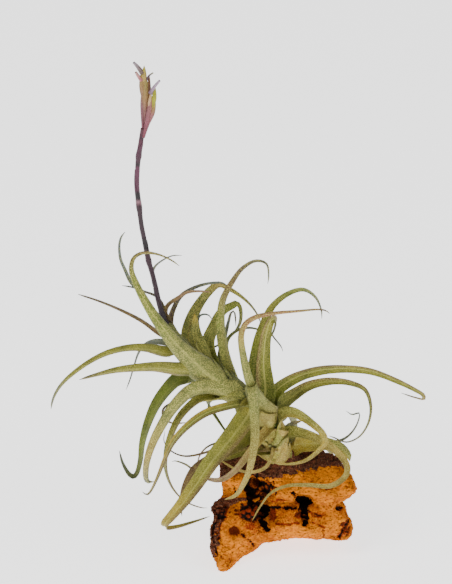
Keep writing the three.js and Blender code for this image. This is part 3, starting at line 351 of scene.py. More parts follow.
    [341, 480, 64]], REAR_LOOK],
  ["rear_foot_left", [247, 400], 8, 0.3, 0.8, 0,
   [[243, 414, 14], [236, 424, 26], [229, 434, 36], [222, 444, 44], [215, 454, 50], [209, 463, 55],
    [205, 470, 58]], REAR_LOOK],
  ["rear_apex", [190, 353], 7, 0.3, 0.8, 0,
   [[181, 343, 12], [174, 334, 22], [167, 326, 32], [161, 320, 42], [157, 317, 50], [155, 318, 57]],
   REAR_LOOK],
]

# Bracts of the two spikes: foot, tip, half width and sideways bow in millimetres, how wide the
# foot is as a share of the full width, and the colours from foot to tip and of the edges
TALL_SPIKE_BRACTS = [
  [[143.4, 130, 8], [142, 90, 8], 1.05, -0.1, 0.85,
   "0 #6A3A46, 0.6 #7E5A5C, 1 #86704E", "#4E2E38"],
  [[144.2, 130, 8], [145.8, 76, 8], 1.9, 0.3, 0.34,
   "0 #724A4C, 0.35 #84605A, 0.6 #957A58, 1 #9A9260", "#5A4032"],
  [[145, 124, 8], [149.4, 75, 8], 1.2, 0.5, 0.34,
   "0 #5E3C30, 0.5 #6A4A30, 1 #5E422C", "#46302A"],
  [[144, 106, 8], [141.2, 73, 8], 1.4, -0.2, 0.34,
   "0 #7E5A54, 0.6 #967C5A, 1 #948850", "#6C543E"],
  [[143.8, 92, 8], [144.2, 65.8, 8], 1.3, 0, 0.34,
   "0 #8E7450, 0.6 #AE9C68, 1 #A09C58", "#746840"],
]
SHORT_SPIKE_BRACTS = [
  [[143.4, 137.5, 7], [151.5, 96, 5.5], 1.6, 0.6, 0.5,
   "0 #6A3642, 0.4 #84505A, 1 #906A60", "#5A3440"],
  [[146.4, 129, 6], [155.4, 99, 5.5], 1.3, 0.5, 0.34,
   "0 #744250, 0.5 #8C5E5C, 0.8 #948650, 1 #9A9A4C", "#6C523E"],
  [[148.4, 118, 6], [151, 92, 5.5], 1.0, 0, 0.34,
   "0 #9A6E68, 0.5 #C4A688, 1 #B49A74", "#826850"],
  [[151.8, 114, 5.5], [155.2, 87, 5.5], 1.2, 0.2, 0.34,
   "0 #9C8E54, 0.5 #9E9E4C, 1 #929244", "#787838"],
]

# Petals: small rolled tubes that stand in sockets between the bracts, with foot radius
PETALS = [
  ["flower_top", [[142.6, 73.5, 8], [139.2, 68.6, 8], [136.4, 65.2, 7.5], [133.7, 62.4, 7]], 1.15],
  ["flower_left", [[142, 80.5, 8], [138.6, 76.4, 8], [135.8, 72, 7.5]], 1.05],
  ["flower_right", [[146.6, 80, 8], [149.2, 75.6, 8], [153.2, 72.8, 7.5]], 0.6],
  ["flower_side", [[150.4, 93.5, 5.8], [154, 87.4, 5.2], [159.8, 80.5, 4.6]], 1.0],
]

# Helpers for colours, curves and frames

VIVID = 1.35
GREY_SHARES = (0.2126, 0.7152, 0.0722)
DARKEST = 0.001


def paint(text):
    """Linear colour of #RRGGBB, more vivid by a fixed share, because the soft light pales it."""
    channels = [int(text[start:start + 2], 16) / 255 for start in (1, 3, 5)]
    linear = [c / 12.92 if c <= 0.04045 else ((c + 0.055) / 1.055) ** 2.4 for c in channels]
    grey = sum(share * value for share, value in zip(GREY_SHARES, linear))
    return tuple(min(max(grey + (value - grey) * VIVID, DARKEST), 1) for value in linear)


def ramp_between(text, values, colour_of=paint):
    """Colours of values on a ramp given as text, such as "0 grey, 1 olive" or with #RRGGBB."""
    stops = [stop.split() for stop in text.split(",")]
    places = [float(value) for value, _ in stops]
    colours = np.array([colour_of(colour) for _, colour in stops])
    tones = np.stack([np.interp(values, places, colours[:, index]) for index in range(3)], axis=-1)
    return np.hstack([tones, np.ones((len(tones), 1))])


def smooth(value, low=0.0, high=1.0):
    """Smooth rise from 0 at low to 1 at high."""
    share = np.clip((np.asarray(value, float) - low) / (high - low), 0, 1)
    return share * share * (3 - 2 * share)


def hump(distance, reach):
    """Smooth fall from 1 at no distance towards 0 beyond the reach."""
    return np.exp(-((distance / reach) ** 2))


def blend_between(first, second, share):
    """Straight mix of two values or arrays."""
    return first + (second - first) * share


def curve_points(points, fractions):
    """Points of the smooth curve through the given points, with the spans of equal weight."""
    points = np.asarray(points, float)
    ends = np.vstack([2 * points[0] - points[1], points, 2 * points[-1] - points[-2]])
    spans = len(points) - 1
    spread = np.clip(fractions, 0, 1) * spans
    span = np.minimum(spread.astype(int), spans - 1)
    weight = (spread - span)[:, None]
    before, start, end, after = (ends[span + step] for step in range(4))
    gap_before = np.linalg.norm(start - before, axis=1)[:, None] ** 0.5
    gap = np.linalg.norm(end - start, axis=1)[:, None] ** 0.5
    gap_after = np.linalg.norm(after - end, axis=1)[:, None] ** 0.5
    leave = ((start - before) / gap_before - (end - before) / (gap_before + gap) + (end - start) / gap) * gap
    arrive = ((end - start) / gap - (after - start) / (gap + gap_after) + (after - end) / gap_after) * gap
    bend = -3 * start + 3 * end - 2 * leave - arrive
    twist = 2 * start - 2 * end + leave + arrive
    return start + leave * weight + bend * weight**2 + twist * weight**3


def lengths_along(points):
    """Distance of each point from the first, along the line."""
    steps = np.linalg.norm(np.diff(points, axis=0), axis=1)
    return np.concatenate([[0], np.cumsum(steps)])


def even_curve(points, spacing, samples=24):
    """Points about spacing apart on the smooth curve, and their distance along it."""
    fractions = np.linspace(0, 1, (len(points) - 1) * samples + 1)
    lengths = lengths_along(curve_points(points, fractions))
    count = max(6, int(round(lengths[-1] / spacing)) + 1)
    wanted = np.linspace(0, lengths[-1], count)
    return curve_points(points, np.interp(wanted, lengths, fractions)), wanted


def unit(vector):
    """The vector, or each row of an array, at length 1."""
    return vector / np.linalg.norm(vector, axis=-1, keepdims=True)


def tangents_of(points):
    """Direction of the line at each of its points."""
    ahead = np.vstack([points[1:], points[-1:]])
    behind = np.vstack([points[:1], points[:-1]])
    return unit(ahead - behind)


def carried_ups(tangents, first_up, start):
    """Up directions carried both ways along a line from its ring number start, without twist."""
    ups = np.zeros_like(tangents)
    for order in (range(start, len(tangents)), range(start, -1, -1)):
        up = np.asarray(first_up, float)
        for index in order:
            up = unit(up - tangents[index] * up.dot(tangents[index]))
            ups[index] = up
    return ups


def wander(values, seed):
    """Smooth seeded noise between -1 and 1 for each value."""
    return np.array([noise.noise(Vector((value, seed * 7.31, seed * 3.17))) for value in values])


# Helpers for meshes

# Kind of a mesh attribute and the name of its values, by how many numbers a point has
ATTRIBUTE_KINDS = {1: ("FLOAT", "value"), 3: ("FLOAT_VECTOR", "vector"), 4: ("FLOAT_COLOR", "color")}
BLADE_SECTION = 1.5
INNER_LAYER = 40.0
LAYER_STEP = 7.3


def loop_faces(rings, count):
    """Quads between rings of equal count."""
    faces = []
    for ring in range(rings - 1):
        low = ring * count
        for side in range(count):
            after = (side + 1) % count
            faces.append((low + side, low + after, low + count + after, low + count + side))
    return faces


def add_piece(name, points, faces, material, nodes, slot, **attributes):
    """One piece of the plant: a smooth mesh in metres, riding on the body, standing for its nodes."""
    mesh = bpy.data.meshes.new(name)
    mesh.from_pydata((np.asarray(points) * MILLIMETRE).tolist(), [], faces)
    for key, values in attributes.items():
        values = np.asarray(values, float).reshape(len(points), -1)
        kind, field = ATTRIBUTE_KINDS[values.shape[1]]
        mesh.attributes.new(key, kind, "POINT").data.foreach_set(field, values.ravel())
    mesh.shade_smooth()
    mesh.update()
    mesh.materials.append(material)
    piece = bpy.data.objects.new(name, mesh)
    bpy.context.scene.collection.objects.link(piece)
    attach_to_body(piece, "root")
    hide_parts(*nodes)


def add_joined(name, shapes, material, nodes, slot, **marks):
    """One piece of several shapes, each given as its points, faces, tones and grain."""
    points, face_lists, tones, grains = zip(*shapes)
    faces = []
    first = 0
    for part, part_faces in zip(points, face_lists):
        faces += [tuple(first + corner for corner in face) for face in part_faces]
        first += len(part)
    points = np.vstack(points)
    layers = {key: np.tile(values, (len(points), 1)) for key, values in marks.items()}
    add_piece(
        name, points, faces, material, nodes, slot, tone=np.vstack(tones), grain=np.vstack(grains), **layers)


def ring_points(centres, one_way, one_reach, other_way, other_reach):
    """Rings of points around a line, which reach out from it by so much in each of two directions."""
    return (
        centres[:, None, :]
        + one_way[:, None, :] * one_reach[:, :, None]
        + other_way[:, None, :] * other_reach[:, :, None]
    )


def channel(centres, ups, half_arc, spread, middle, edge, stations, number):
    """A channelled blade: at each ring an arc with its thickness, closed at both ends.

    Gives its points and faces, and for each point how far across it lies from -1 to 1, the
    number of its ring and its place in the grain (millimetres across and along, and a layer).
    """
    across = np.cross(tangents_of(centres), ups)
    sides = np.linspace(-1, 1, stations)
    turn = spread[:, None] * sides
    radius = (half_arc / spread)[:, None]
    middle_line = ring_points(centres, across, radius * np.sin(turn), ups, radius * (1 - np.cos(turn)))
    inward = ups[:, None, :] * np.cos(turn)[:, :, None] - across[:, None, :] * np.sin(turn)[:, :, None]
    middle, edge = (np.broadcast_to(value, len(centres))[:, None] for value in (middle, edge))
    thick = edge + (middle - edge) * (1 - np.abs(sides) ** BLADE_SECTION)
    half_thick = inward * (thick / 2)[:, :, None]
    rings = np.concatenate([middle_line - half_thick, (middle_line + half_thick)[:, ::-1]], axis=1)
    count = 2 * stations
    faces = loop_faces(len(centres), count)
    last = (len(centres) - 1) * count
    for side in range(stations - 1):
        corners = (side, side + 1, count - 2 - side, count - 1 - side)
        faces.append(corners[::-1])
        faces.append(tuple(last + corner for corner in corners))
    side_of = np.tile(np.concatenate([sides, sides[::-1]]), (len(centres), 1))
    along = np.tile(lengths_along(centres)[:, None], (1, count))
    layer = np.tile(np.repeat([0.0, INNER_LAYER], stations), (len(centres), 1))
    grain = np.stack([side_of * half_arc[:, None], along, layer + number * LAYER_STEP], axis=-1)
    ring_of = np.repeat(np.arange(len(centres)), count)
    return rings.reshape(-1, 3), faces, side_of.ravel(), ring_of, grain.reshape(-1, 3)


def closed_tube(rings, foot, tip):
    """Points and faces of a tube through rings of points, closed by a point at each end."""
    count, sides = rings.shape[:2]
    faces = [face[::-1] for face in loop_faces(count, sides)]
    last = (count - 1) * sides
    end = count * sides
    for side in range(sides):
        after = (side + 1) % sides
        faces.append((end, side, after))
        faces.append((end + 1, last + after, last + side))
    return np.vstack([rings.reshape(-1, 3), foot, tip]), faces


def turns_of(sides):
    """How far round each side of a tube lies, as a share of a full turn."""
    return np.arange(sides) / sides


def tube(centres, ups, across, radii, sides, lap=0.0):
    """A round stalk with its ends closed; a lap lifts one side of it like a rolled edge."""
    turns = turns_of(sides)
    radius = radii[:, None] * (1 + lap * (1 - turns))
    angles = turns * math.tau
    rings = ring_points(centres, ups, radius * np.cos(angles), across, radius * np.sin(angles))
    return closed_tube(rings, centres[0], centres[-1])


def with_ends(values):
    """Values of the ring points of a tube, with those of its two end points after them."""
    return np.vstack([values, values[:1], values[-1:]])


def tube_grain(around, along, layer):
    """Place in the grain of a tube's points: millimetres around and along it, and its layer."""
    spin = np.tile(around, len(along))
    return with_ends(np.stack([spin, np.repeat(along, len(around)), np.full(len(spin), layer)], axis=-1))


# Helpers for materials

def add_node(tree, kind, **settings):
    """A new shader node with its settings."""
    node = tree.nodes.new("ShaderNode" + kind)
    for key, value in settings.items():
        setattr(node, key, value)
    return node


def feed(tree, socket, value):
    """Links a socket, or sets a plain value."""
    if isinstance(value, bpy.types.NodeSocket):
        tree.links.new(value, socket)
    elif value is not None:
        socket.default_value = value


def feed_all(tree, node, **values):
    """Feeds inputs of a node by their names, in which _ stands for a space."""
    for name, value in values.items():
        feed(tree, node.inputs[name.replace("_", " ")], value)


def read_mark(tree, name, part="Vector"):
    """A named mark of the mesh."""
    return add_node(tree, "Attribute", attribute_name=name).outputs[part]


def split(tree, vector):
    """The three parts of a vector."""
    node = add_node(tree, "SeparateXYZ")
    feed(tree, node.inputs[0], vector)
    return node.outputs


def scaled(tree, vector, scale):
    """A vector stretched by three numbers."""
    node = add_node(tree, "VectorMath", operation="MULTIPLY")
    feed(tree, node.inputs[0], vector)
    feed(tree, node.inputs[1], scale)
    return node.outputs[0]


def speckle(tree, vector, scale, detail=2.0, roughness=0.5, distortion=0.0):
    """Noise from 0 to 1."""
    node = add_node(tree, "TexNoise")
    feed_all(
        tree, node, Vector=vector, Scale=scale, Detail=detail, Roughness=roughness, Distortion=distortion)
    return node.outputs[0]


def cells(tree, vector, scale, feature="F1"):
    """Distance to the nearest cell of a cell pattern, or to the edges between cells."""
    node = add_node(tree, "TexVoronoi", feature=feature)
    feed_all(tree, node, Vector=vector, Scale=scale)
    return node.outputs["Distance"]


def sum_of(tree, operation, first, second=None, third=None, clamp=False):
    """One step of arithmetic."""
    node = add_node(tree, "Math", operation=operation, use_clamp=clamp)
    for socket, value in zip(node.inputs, (first, second, third)):
        feed(tree, socket, value)
    return node.outputs[0]


def plus(tree, first, second):
    """Sum of two values."""
    return sum_of(tree, "ADD", first, second)


def times(tree, first, second, clamp=False):
    """Product of two values."""
    return sum_of(tree, "MULTIPLY", first, second, clamp=clamp)


def larger(tree, first, second):
    """The larger of two values."""
    return sum_of(tree, "MAXIMUM", first, second)


def rest_of(tree, value):
    """What is left of 1 beside a value."""
    return sum_of(tree, "SUBTRACT", 1.0, value)


def frayed(tree, mark, grain, reach):
    """A mark whose border wanders by a grain, half of the reach to each side."""
    return plus(tree, mark, sum_of(tree, "MULTIPLY_ADD", grain, reach, -reach / 2))


def rise(tree, value, low, high):
    """Smooth rise from 0 at low to 1 at high."""
    node = add_node(tree, "MapRange", interpolation_type="SMOOTHSTEP")
    feed_all(tree, node, Value=value, From_Min=low, From_Max=high)
    return node.outputs[0]


def mixed(tree, share, first, second, how="MIX"):
    """Mix of two colours, each a socket or three numbers."""
    node = add_node(tree, "Mix", data_type="RGBA", blend_type=how)
    feed(tree, node.inputs[0], share)
    for socket, value in ((node.inputs[6], first), (node.inputs[7], second)):
        feed(tree, socket, value if isinstance(value, bpy.types.NodeSocket) else (*value, 1))
    return node.outputs[2]


def tinted(tree, colour, tint):
    """A colour multiplied by a tint."""
    return mixed(tree, 1.0, colour, tint, "MULTIPLY")


def new_material(name):
    """An empty material with its surface shader."""
    material = bpy.data.materials.new(name)
    material.use_nodes = True
    tree = material.node_tree
    tree.nodes.clear()
    shader = add_node(tree, "BsdfPrincipled")
    output = add_node(tree, "OutputMaterial")
    tree.links.new(shader.outputs[0], output.inputs[0])
    return material, tree, shader


def lay_bump(tree, shader, height, distance):
    """Fine relief on the shader; distance in millimetres."""
    bump = add_node(tree, "Bump")
    feed_all(tree, bump, Height=height, Distance=distance * MILLIMETRE, Strength=1.0)
    tree.links.new(bump.outputs[0], shader.inputs["Normal"])


# Materials: how far each grain is stretched around, along and through a blade, and tints that
# darken or pale the skin's own colour

LEAF_STREAK_GRAIN = (2.2, 0.11, 1.0)
LEAF_RIB_GRAIN = (2.6, 0.05, 1.0)
LEAF_BLOTCH_GRAIN = 0.16
LEAF_DOT_GRAIN = 0.85
LEAF_DEEPER_TINT = (0.6, 0.62, 0.55)
LEAF_STREAK_TINT = (0.55, 0.5, 0.42)
LEAF_SHEEN = 0.12
STALK_STREAK_GRAIN = (2.4, 0.22, 1.0)
STALK_FLECK_GRAIN = 2.4
STALK_DEEPER_TINT = (0.6, 0.56, 0.56)
STALK_PALER_TINT = (1.5, 1.45, 1.4)
CORK_PORE_GRAIN = (0.75, 0.75, 1.1)
CORK_GROOVE_GRAIN = (0.7, 0.7, 1.3)
BARK_COLOUR_GRAIN = (0.45, 0.45, 1.1)
CORK_SHINE = 0.15


def leaf_material(sizes):
    """Matte leaf skin: its own colours under a pale scurf, with fine ribs and a crease."""
    material, tree, shader = new_material("leaf_skin")
    tone = read_mark(tree, "tone", "Color")
    grain = read_mark(tree, "grain")
    side, crease, scurf = split(tree, read_mark(tree, "marks"))
    fine = speckle(tree, grain, 1.0 / sizes.scurf_grain, detail=3.0, roughness=0.65)
    blotches = speckle(tree, grain, LEAF_BLOTCH_GRAIN)

    dots = rest_of(tree, rise(tree, cells(tree, grain, LEAF_DOT_GRAIN / sizes.scurf_grain), 0.3, 0.5))
    dots = times(tree, dots, rise(tree, blotches, 0.2, 0.45))
    flecks = larger(tree, dots, times(tree, rise(tree, fine, 0.5, 0.62), 0.5))
    streaks = speckle(tree, scaled(tree, grain, LEAF_STREAK_GRAIN), 1.0, detail=3.0, roughness=0.6)
    deeper = tinted(tree, tone, LEAF_DEEPER_TINT)
    colour = mixed(tree, rise(tree, blotches, 0.3, 0.7), deeper, tone)
    streak_colour = tinted(tree, colour, LEAF_STREAK_TINT)
    colour = mixed(tree, rise(tree, streaks, 0.52, 0.72), colour, streak_colour)

    near_middle = rest_of(tree, rise(tree, sum_of(tree, "ABSOLUTE", side), 0.02, 0.16))
    pale = times(tree, near_middle, crease, clamp=True)
    dark = times(tree, near_middle, times(tree, crease, -1.0), clamp=True)
    colour = mixed(tree, pale, colour, sizes.crease_colour)
    colour = mixed(tree, dark, colour, sizes.stripe_colour)
    coat = times(tree, times(tree, flecks, scurf), sizes.scurf_strength)
    colour = mixed(tree, coat, colour, sizes.scurf_colour)

    rough = rise(tree, plus(tree, fine, streaks), 0.3, 1.5)
    rough = sum_of(tree, "MULTIPLY_ADD", rough, 0.3, 0.55)
    feed_all(tree, shader, Base_Color=colour, Roughness=rough, Sheen_Weight=LEAF_SHEEN)
    ribs = speckle(tree, scaled(tree, grain, LEAF_RIB_GRAIN), 1.0)
    lay_bump(tree, shader, plus(tree, ribs, times(tree, flecks, 0.4)), sizes.rib_height)
    return material


def stalk_material(name, roughness, grain_scale, relief):
    """Smooth plant skin that takes its colours from the mesh, with fine lengthwise grain."""
    material, tree, shader = new_material(name)
    tone = read_mark(tree, "tone", "Color")
    grain = read_mark(tree, "grain")
    streaks = speckle(tree, scaled(tree, grain, STALK_STREAK_GRAIN), grain_scale, detail=3.0, roughness=0.6)
    flecks = speckle(tree, grain, STALK_FLECK_GRAIN * grain_scale, roughness=0.6)
    shaded = mixed(tree, rise(tree, streaks, 0.35, 0.7), tinted(tree, tone, STALK_DEEPER_TINT), tone)
    paler = tinted(tree, tone, STALK_PALER_TINT)
    colour = mixed(tree, times(tree, rise(tree, flecks, 0.52, 0.7), 0.6), shaded, paler)
    rough = sum_of(tree, "MULTIPLY_ADD", flecks, 0.25, roughness - 0.1)
    feed_all(tree, shader, Base_Color=colour, Roughness=rough)
    lay_bump(tree, shader, plus(tree, streaks, flecks), relief)
    return material


def cork_material(sizes):
    """Open cork and its bark: tan to orange and red-brown, with dark pores, painted shade in cracks and
    hollows, and painted light on lit faces.
    """
    material, tree, shader = new_material("cork_and_bark")
    where = add_node(tree, "TexCoord").outputs["Object"]
    place_mm = scaled(tree, where, (1 / MILLIMETRE,) * 3)
    bark, hollow_shade, rust_and_shade = split(tree, read_mark(tree, "marks"))
    bright = read_mark(tree, "bright", "Fac")
    broad = speckle(tree, place_mm, 0.09, detail=3.0, roughness=0.6, distortion=0.4)
    middling = speckle(tree, place_mm, 0.35, detail=4.0, roughness=0.65, distortion=0.6)
    fine = speckle(tree, place_mm, 1.3, detail=3.0, roughness=0.7)
    pores = cells(tree, scaled(tree, place_mm, CORK_PORE_GRAIN), 0.75)
    grooves = cells(tree, scaled(tree, place_mm, CORK_GROOVE_GRAIN), 0.2, "DISTANCE_TO_EDGE")

    cork = mixed(tree, rise(tree, middling, 0.34, 0.6), sizes.cork_dark, sizes.cork_colour)
    # Fresher cork at random, and painted light on the faces that catch the light.
    fresh_and_lit = larger(tree, rise(tree, broad, 0.45, 0.7), bright)
    cork = mixed(tree, times(tree, fresh_and_lit, rise(tree, middling, 0.3, 0.5)), cork, sizes.fresh_and_lit_cork)
    cork = mixed(tree, times(tree, rise(tree, fine, 0.5, 0.66), 0.4), cork, sizes.cork_dark)
    # Rust-brown: reddish patches, and painted shade in creases, crevices and hollows.
    cork = mixed(tree, rise(tree, frayed(tree, rust_and_shade, fine, 1.6), 0.2, 0.8), cork, sizes.rust_and_shade_colour)
    pitted = rest_of(tree, rise(tree, pores, 0.16, 0.36))
    pitted = times(tree, pitted, rise(tree, fine, 0.38, 0.55))
    thin = rest_of(tree, rise(tree, grooves, 0.0, 0.045))
    thin = times(tree, thin, rise(tree, middling, 0.5, 0.62))
    pitted = larger(tree, pitted, thin)
    cork = mixed(tree, times(tree, pitted, 0.6), cork, sizes.pore_and_shade_colour)

    bark_grain = speckle(
        tree, scaled(tree, place_mm, BARK_COLOUR_GRAIN), 1.0, detail=4.0, roughness=0.75, distortion=0.8)
    bark_colour = mixed(tree, rise(tree, bark_grain, 0.38, 0.66), sizes.bark_dark, sizes.bark_colour)
    flakes = rise(tree, speckle(tree, place_mm, 1.1, detail=4.0, roughness=0.8), 0.52, 0.64)
    bark_colour = mixed(tree, times(tree, flakes, 0.6), bark_colour, sizes.bark_pale)
    colour = mixed(tree, rise(tree, frayed(tree, bark, fine, 0.8), 0.35, 0.65), cork, bark_colour)

    # Painted shade in the cracks, holes, pits, creases and hollows: pore brown, then near black where
    # deepest.
    shadowed = frayed(tree, hollow_shade, fine, 0.5)
    shadowed = times(tree, shadowed, rise(tree, hollow_shade, 0.0, 0.2))
    colour = mixed(tree, rise(tree, shadowed, 0.2, 0.5), colour, sizes.pore_and_shade_colour)
    colour = mixed(tree, rise(tree, shadowed, 0.55, 0.75), colour, sizes.hollow_shade_colour)
    rough = sum_of(tree, "MULTIPLY_ADD", middling, 0.2, 0.75)
    feed_all(tree, shader, Base_Color=colour, Roughness=rough, Specular_IOR_Level=CORK_SHINE)
    height = plus(tree, times(tree, middling, 1.2), times(tree, fine, 0.9))
    lay_bump(tree, shader, sum_of(tree, "SUBTRACT", height, pitted), sizes.grain_height)
    return material


# The stem, its leaves and its old sheaths

STEM_SAMPLES = 240
STEM_SPACING = 1.2
STEM_SIDES = 24
STEM_GIRTH = 24
STEM_BELOW_FOOT = 1.0
STEM_PAST_APEX = 1.5
STEM_SLIMNESS = 0.92
STEM_WRINKLES = 0.05
WRINKLE_LENGTH = 3
STEM_TIP_SHARES = (0.8, 0.4)
STEM_MARKS = (0.5, 0.0, 0.6)
SWELL_COMES = (0.14, 0.26)
SWELL_GOES = (0.5, 0.95)

COARSE_SPACING = 15
FINE_SPACING = 1.7
ROOT_OFFSET = 0.5
COLLAR_OFFSET = 0.9
FOLD_AT_BASE = math.radians(35)
FOLD_AT_TIP = math.radians(25)
FOLD_OPENS = 1.6
TURN_COMES = (-2, 12)
TWIST_COMES = (15, 60)
TWIST_LENGTH = 45
WAVER = 0.05
WAVER_LENGTH = 9
TIP_WIDTH = 0.75
TIP_CLOSES = (-1.5, 4)
TIP_THINNING = 0.55
THICKEST_SHARE = 0.55
THINNEST_BLADE = 0.3
THINNEST_END = 0.5
EDGE_SHARE = 0.6
BROAD_LEAF = 4.6
BROAD_STATIONS = 9
NARROW_STATIONS = 7
SIDES_READ_AT = 0.4
EDGE_PAINT_SIDES = (0.15, 0.8)
EDGE_PAINT_COMES = (0.12, 0.3)
EDGE_STRENGTH = 0.85

SHEATH_BELOW = 9.0
SHEATH_FOOT = 0.72
SHEATH_SHOULDER = 0.96
SHOULDER_AT = 0.45
SHEATH_SPREAD = math.radians(108)
SHEATH_LEAVES_BY = 9.0
SHEATH_OPENS_OVER = 10.0
SHEATH_WIDENS_FROM = -4
SHEATH_FULL_BY = 0.7
SHEATH_TURN_GOES = (-1, 9)
LOOSENESS = 0.2
LOOSE_WIDTHS = (4, 8)
SLIM_SHEATH = 0.4
THREAD_SHEATH = 0.35
THREAD_WIDTHS = (3, 7)
TURNED_BACK = 0.5

STEM_LINE = curve_points(place(STEM_AXIS), np.linspace(0, 1, STEM_SAMPLES + 1))
STEM_LENGTHS = lengths_along(STEM_LINE)
STEM_TANGENTS = tangents_of(STEM_LINE)
LEAF_NODES = ["leafy_stem"]


def stem_radius(distance):
    """Radius of the stem at a distance along it, thicker where most sheaths overlap."""
    fraction = np.clip(distance / STEM_LENGTHS[-1], 0, 1)
    swell = SHEATH_SWELL * smooth(fraction, *SWELL_COMES) * (1 - smooth(fraction, *SWELL_GOES))
    return blend_between(STEM_RADIUS, APEX_RADIUS, fraction) + swell


def stem_at(distance):
    """Middle and direction of the stem at a distance along it, run on straight past its ends."""
    inside = float(np.clip(distance, 0, STEM_LENGTHS[-1]))
    middle = np.array([np.interp(inside, STEM_LENGTHS, STEM_LINE[:, axis]) for axis in range(3)])
    along = unit(np.array([np.interp(inside, STEM_LENGTHS, STEM_TANGENTS[:, axis]) for axis in range(3)]))
    return middle + along * (distance - inside), along


def on_stem(distance, out, share):
    """A point beside the stem at a share of its radius, on the side that out points to."""
    middle, along = stem_at(distance)
    level = unit(out - along * out.dot(along))
    return middle + level * stem_radius(distance) * share


def coarse_line(points):
    """The leaf's line at the spacing of the packed solid, which its channel is turned by."""
    spans = len(points) - 1
    fractions = []
    for span in range(spans):
        steps = max(1, int(round(np.linalg.norm(points[span + 1] - points[span]) / COARSE_SPACING)))
        fractions += [(span + step / steps) / spans for step in range(steps)]
    return curve_points(points, np.array([*fractions, 1.0]))


def leaf_root(attach, blade_points):
    """Where a leaf leaves the stem: distance along it, axis and direction there, and the way out."""
    target = place([[*attach, 0]])[0]
    gaps = np.hypot(STEM_LINE[:, 0] - target[0], STEM_LINE[:, 2] - target[2])
    nearest = int(np.argmin(gaps))
    axis, along = STEM_LINE[nearest], STEM_TANGENTS[nearest]
    out = blade_points[0] - axis
    return STEM_LENGTHS[nearest], axis, along, unit(out - along * out.dot(along))


def leaf_facing(axis, along, out, radius, blade_points):
    """The up that the solid's channel opens to where it leaves the stem, and its turning sense."""
    root = axis - along * ROOT_DEPTH + out * radius * ROOT_OFFSET
    collar = axis + out * radius * COLLAR_OFFSET
    solid_line = coarse_line(np.vstack([root, collar, blade_points]))
    leaving = unit(solid_line[3] - solid_line[1])
    inner = unit(along - leaving * along.dot(leaving))
    return inner, 1.0 if np.cross(leaving, inner).dot(TO_VIEWER) >= 0 else -1.0


def angle_towards(wanted, tangent, up):
    """Angle about a tangent that turns its up towards a wanted direction."""
    level = unit(wanted - tangent * wanted.dot(tangent))
    return math.atan2(np.cross(tangent, up).dot(level), up.dot(level))


def leaf_line(distance, out, loose, blade_points):
    """A leaf's line from the foot of its sheath to its tip, and the number of its collar's ring."""
    collar = on_stem(distance, out, loose)
    centres, lengths = even_curve(np.vstack([
        on_stem(distance - SHEATH_BELOW, out, SHEATH_FOOT),
        on_stem(distance - SHEATH_BELOW * SHOULDER_AT, out, SHEATH_SHOULDER),
        collar,
        blade_points,
    ]), FINE_SPACING)
    return centres, lengths, int(np.argmin(np.linalg.norm(centres - collar, axis=1)))


def blade_widths(row, share, from_root, fullness):
    """Width of a leaf along its length, wider at its sheath and flared at its base."""
    _, _, width, flare, taper, *_ = row
    sheath = max(SHEATH_WIDTH - width, 0) * fullness * hump(from_root, SHEATH_REACH)
    wider = 1 + flare * hump(from_root, FLARE_REACH)
    return TIP_WIDTH + (width - TIP_WIDTH) * (1 - share) ** taper * wider + sheath


def leaf_shape(row, number, sizes):
    """Rings of a leaf: its middles, ups, half arc, spread, thicknesses, and share of its length."""
    _, attach, width, _, _, turn, midline, _ = row
    blade_points = place(midline)
    distance, axis, along, out = leaf_root(attach, blade_points)
    radius = stem_radius(distance)
    inner, facing = leaf_facing(axis, along, out, radius, blade_points)
    loose = 1.0 + LOOSENESS * smooth(width, *LOOSE_WIDTHS)
    centres, lengths, collar_at = leaf_line(distance, out, loose, blade_points)
    past_collar = lengths - lengths[collar_at]

    tangents = tangents_of(centres)
    ups = carried_ups(tangents, inner, min(collar_at + 3, len(centres) - 2))
    to_stem = angle_towards(-out, tangents[collar_at], ups[collar_at])
    angle = math.radians(turn) * smooth(past_collar, *TURN_COMES) * facing
    angle = angle + to_stem * (1 - smooth(past_collar, *SHEATH_TURN_GOES))
    dry_twist = sizes.twist * wander(lengths / TWIST_LENGTH, number)
    angle = angle + dry_twist * smooth(past_collar, *TWIST_COMES)
    ups = ups * np.cos(angle)[:, None] + np.cross(tangents, ups) * np.sin(angle)[:, None]

    from_root = np.maximum(past_collar + ROOT_DEPTH, 0)
    share = from_root / from_root[-1]
    fullness = blend_between(THREAD_SHEATH, 1, smooth(width, *THREAD_WIDTHS))
    blade = blade_widths(row, share, from_root, fullness)
    blade = blade * (1 + WAVER * wander(lengths / WAVER_LENGTH, number + 0.5))
    fold = blend_between(FOLD_AT_BASE, FOLD_AT_TIP, np.minimum(share * FOLD_OPENS, 1))
    spread = 2 * fold
    half_arc = blade / 2 * np.cos(fold) / np.sin(spread) * spread

    turned = past_collar[(past_collar > 0) & (tangents @ along < TURNED_BACK)]
    leaves_by = min([SHEATH_LEAVES_BY, *turned[:1]]) * fullness
    clasp = 1 - smooth(past_collar, leaves_by - SHEATH_OPENS_OVER, leaves_by)
    slim = blend_between(SLIM_SHEATH, 1, leaves_by / SHEATH_LEAVES_BY)
    widening = smooth(lengths, SHEATH_WIDENS_FROM, lengths[collar_at] * SHEATH_FULL_BY)
    wrap = radius * loose * SHEATH_SPREAD * slim * widening
    half_arc = blend_between(half_arc, wrap, clasp)
    spread = blend_between(spread, SHEATH_SPREAD, clasp)

    thick = blend_between(sizes.leaf_thickness, sizes.leaf_thickness * TIP_THINNING, share)
    thick = np.minimum(thick, np.maximum(blade * THICKEST_SHARE, THINNEST_BLADE))
    edge = np.minimum(sizes.leaf_edge, thick * EDGE_SHARE)
    ends = smooth(lengths[-1] - lengths, *TIP_CLOSES)
    return centres, ups, half_arc * ends, spread, thick * np.maximum(ends, THINNEST_END), edge, share


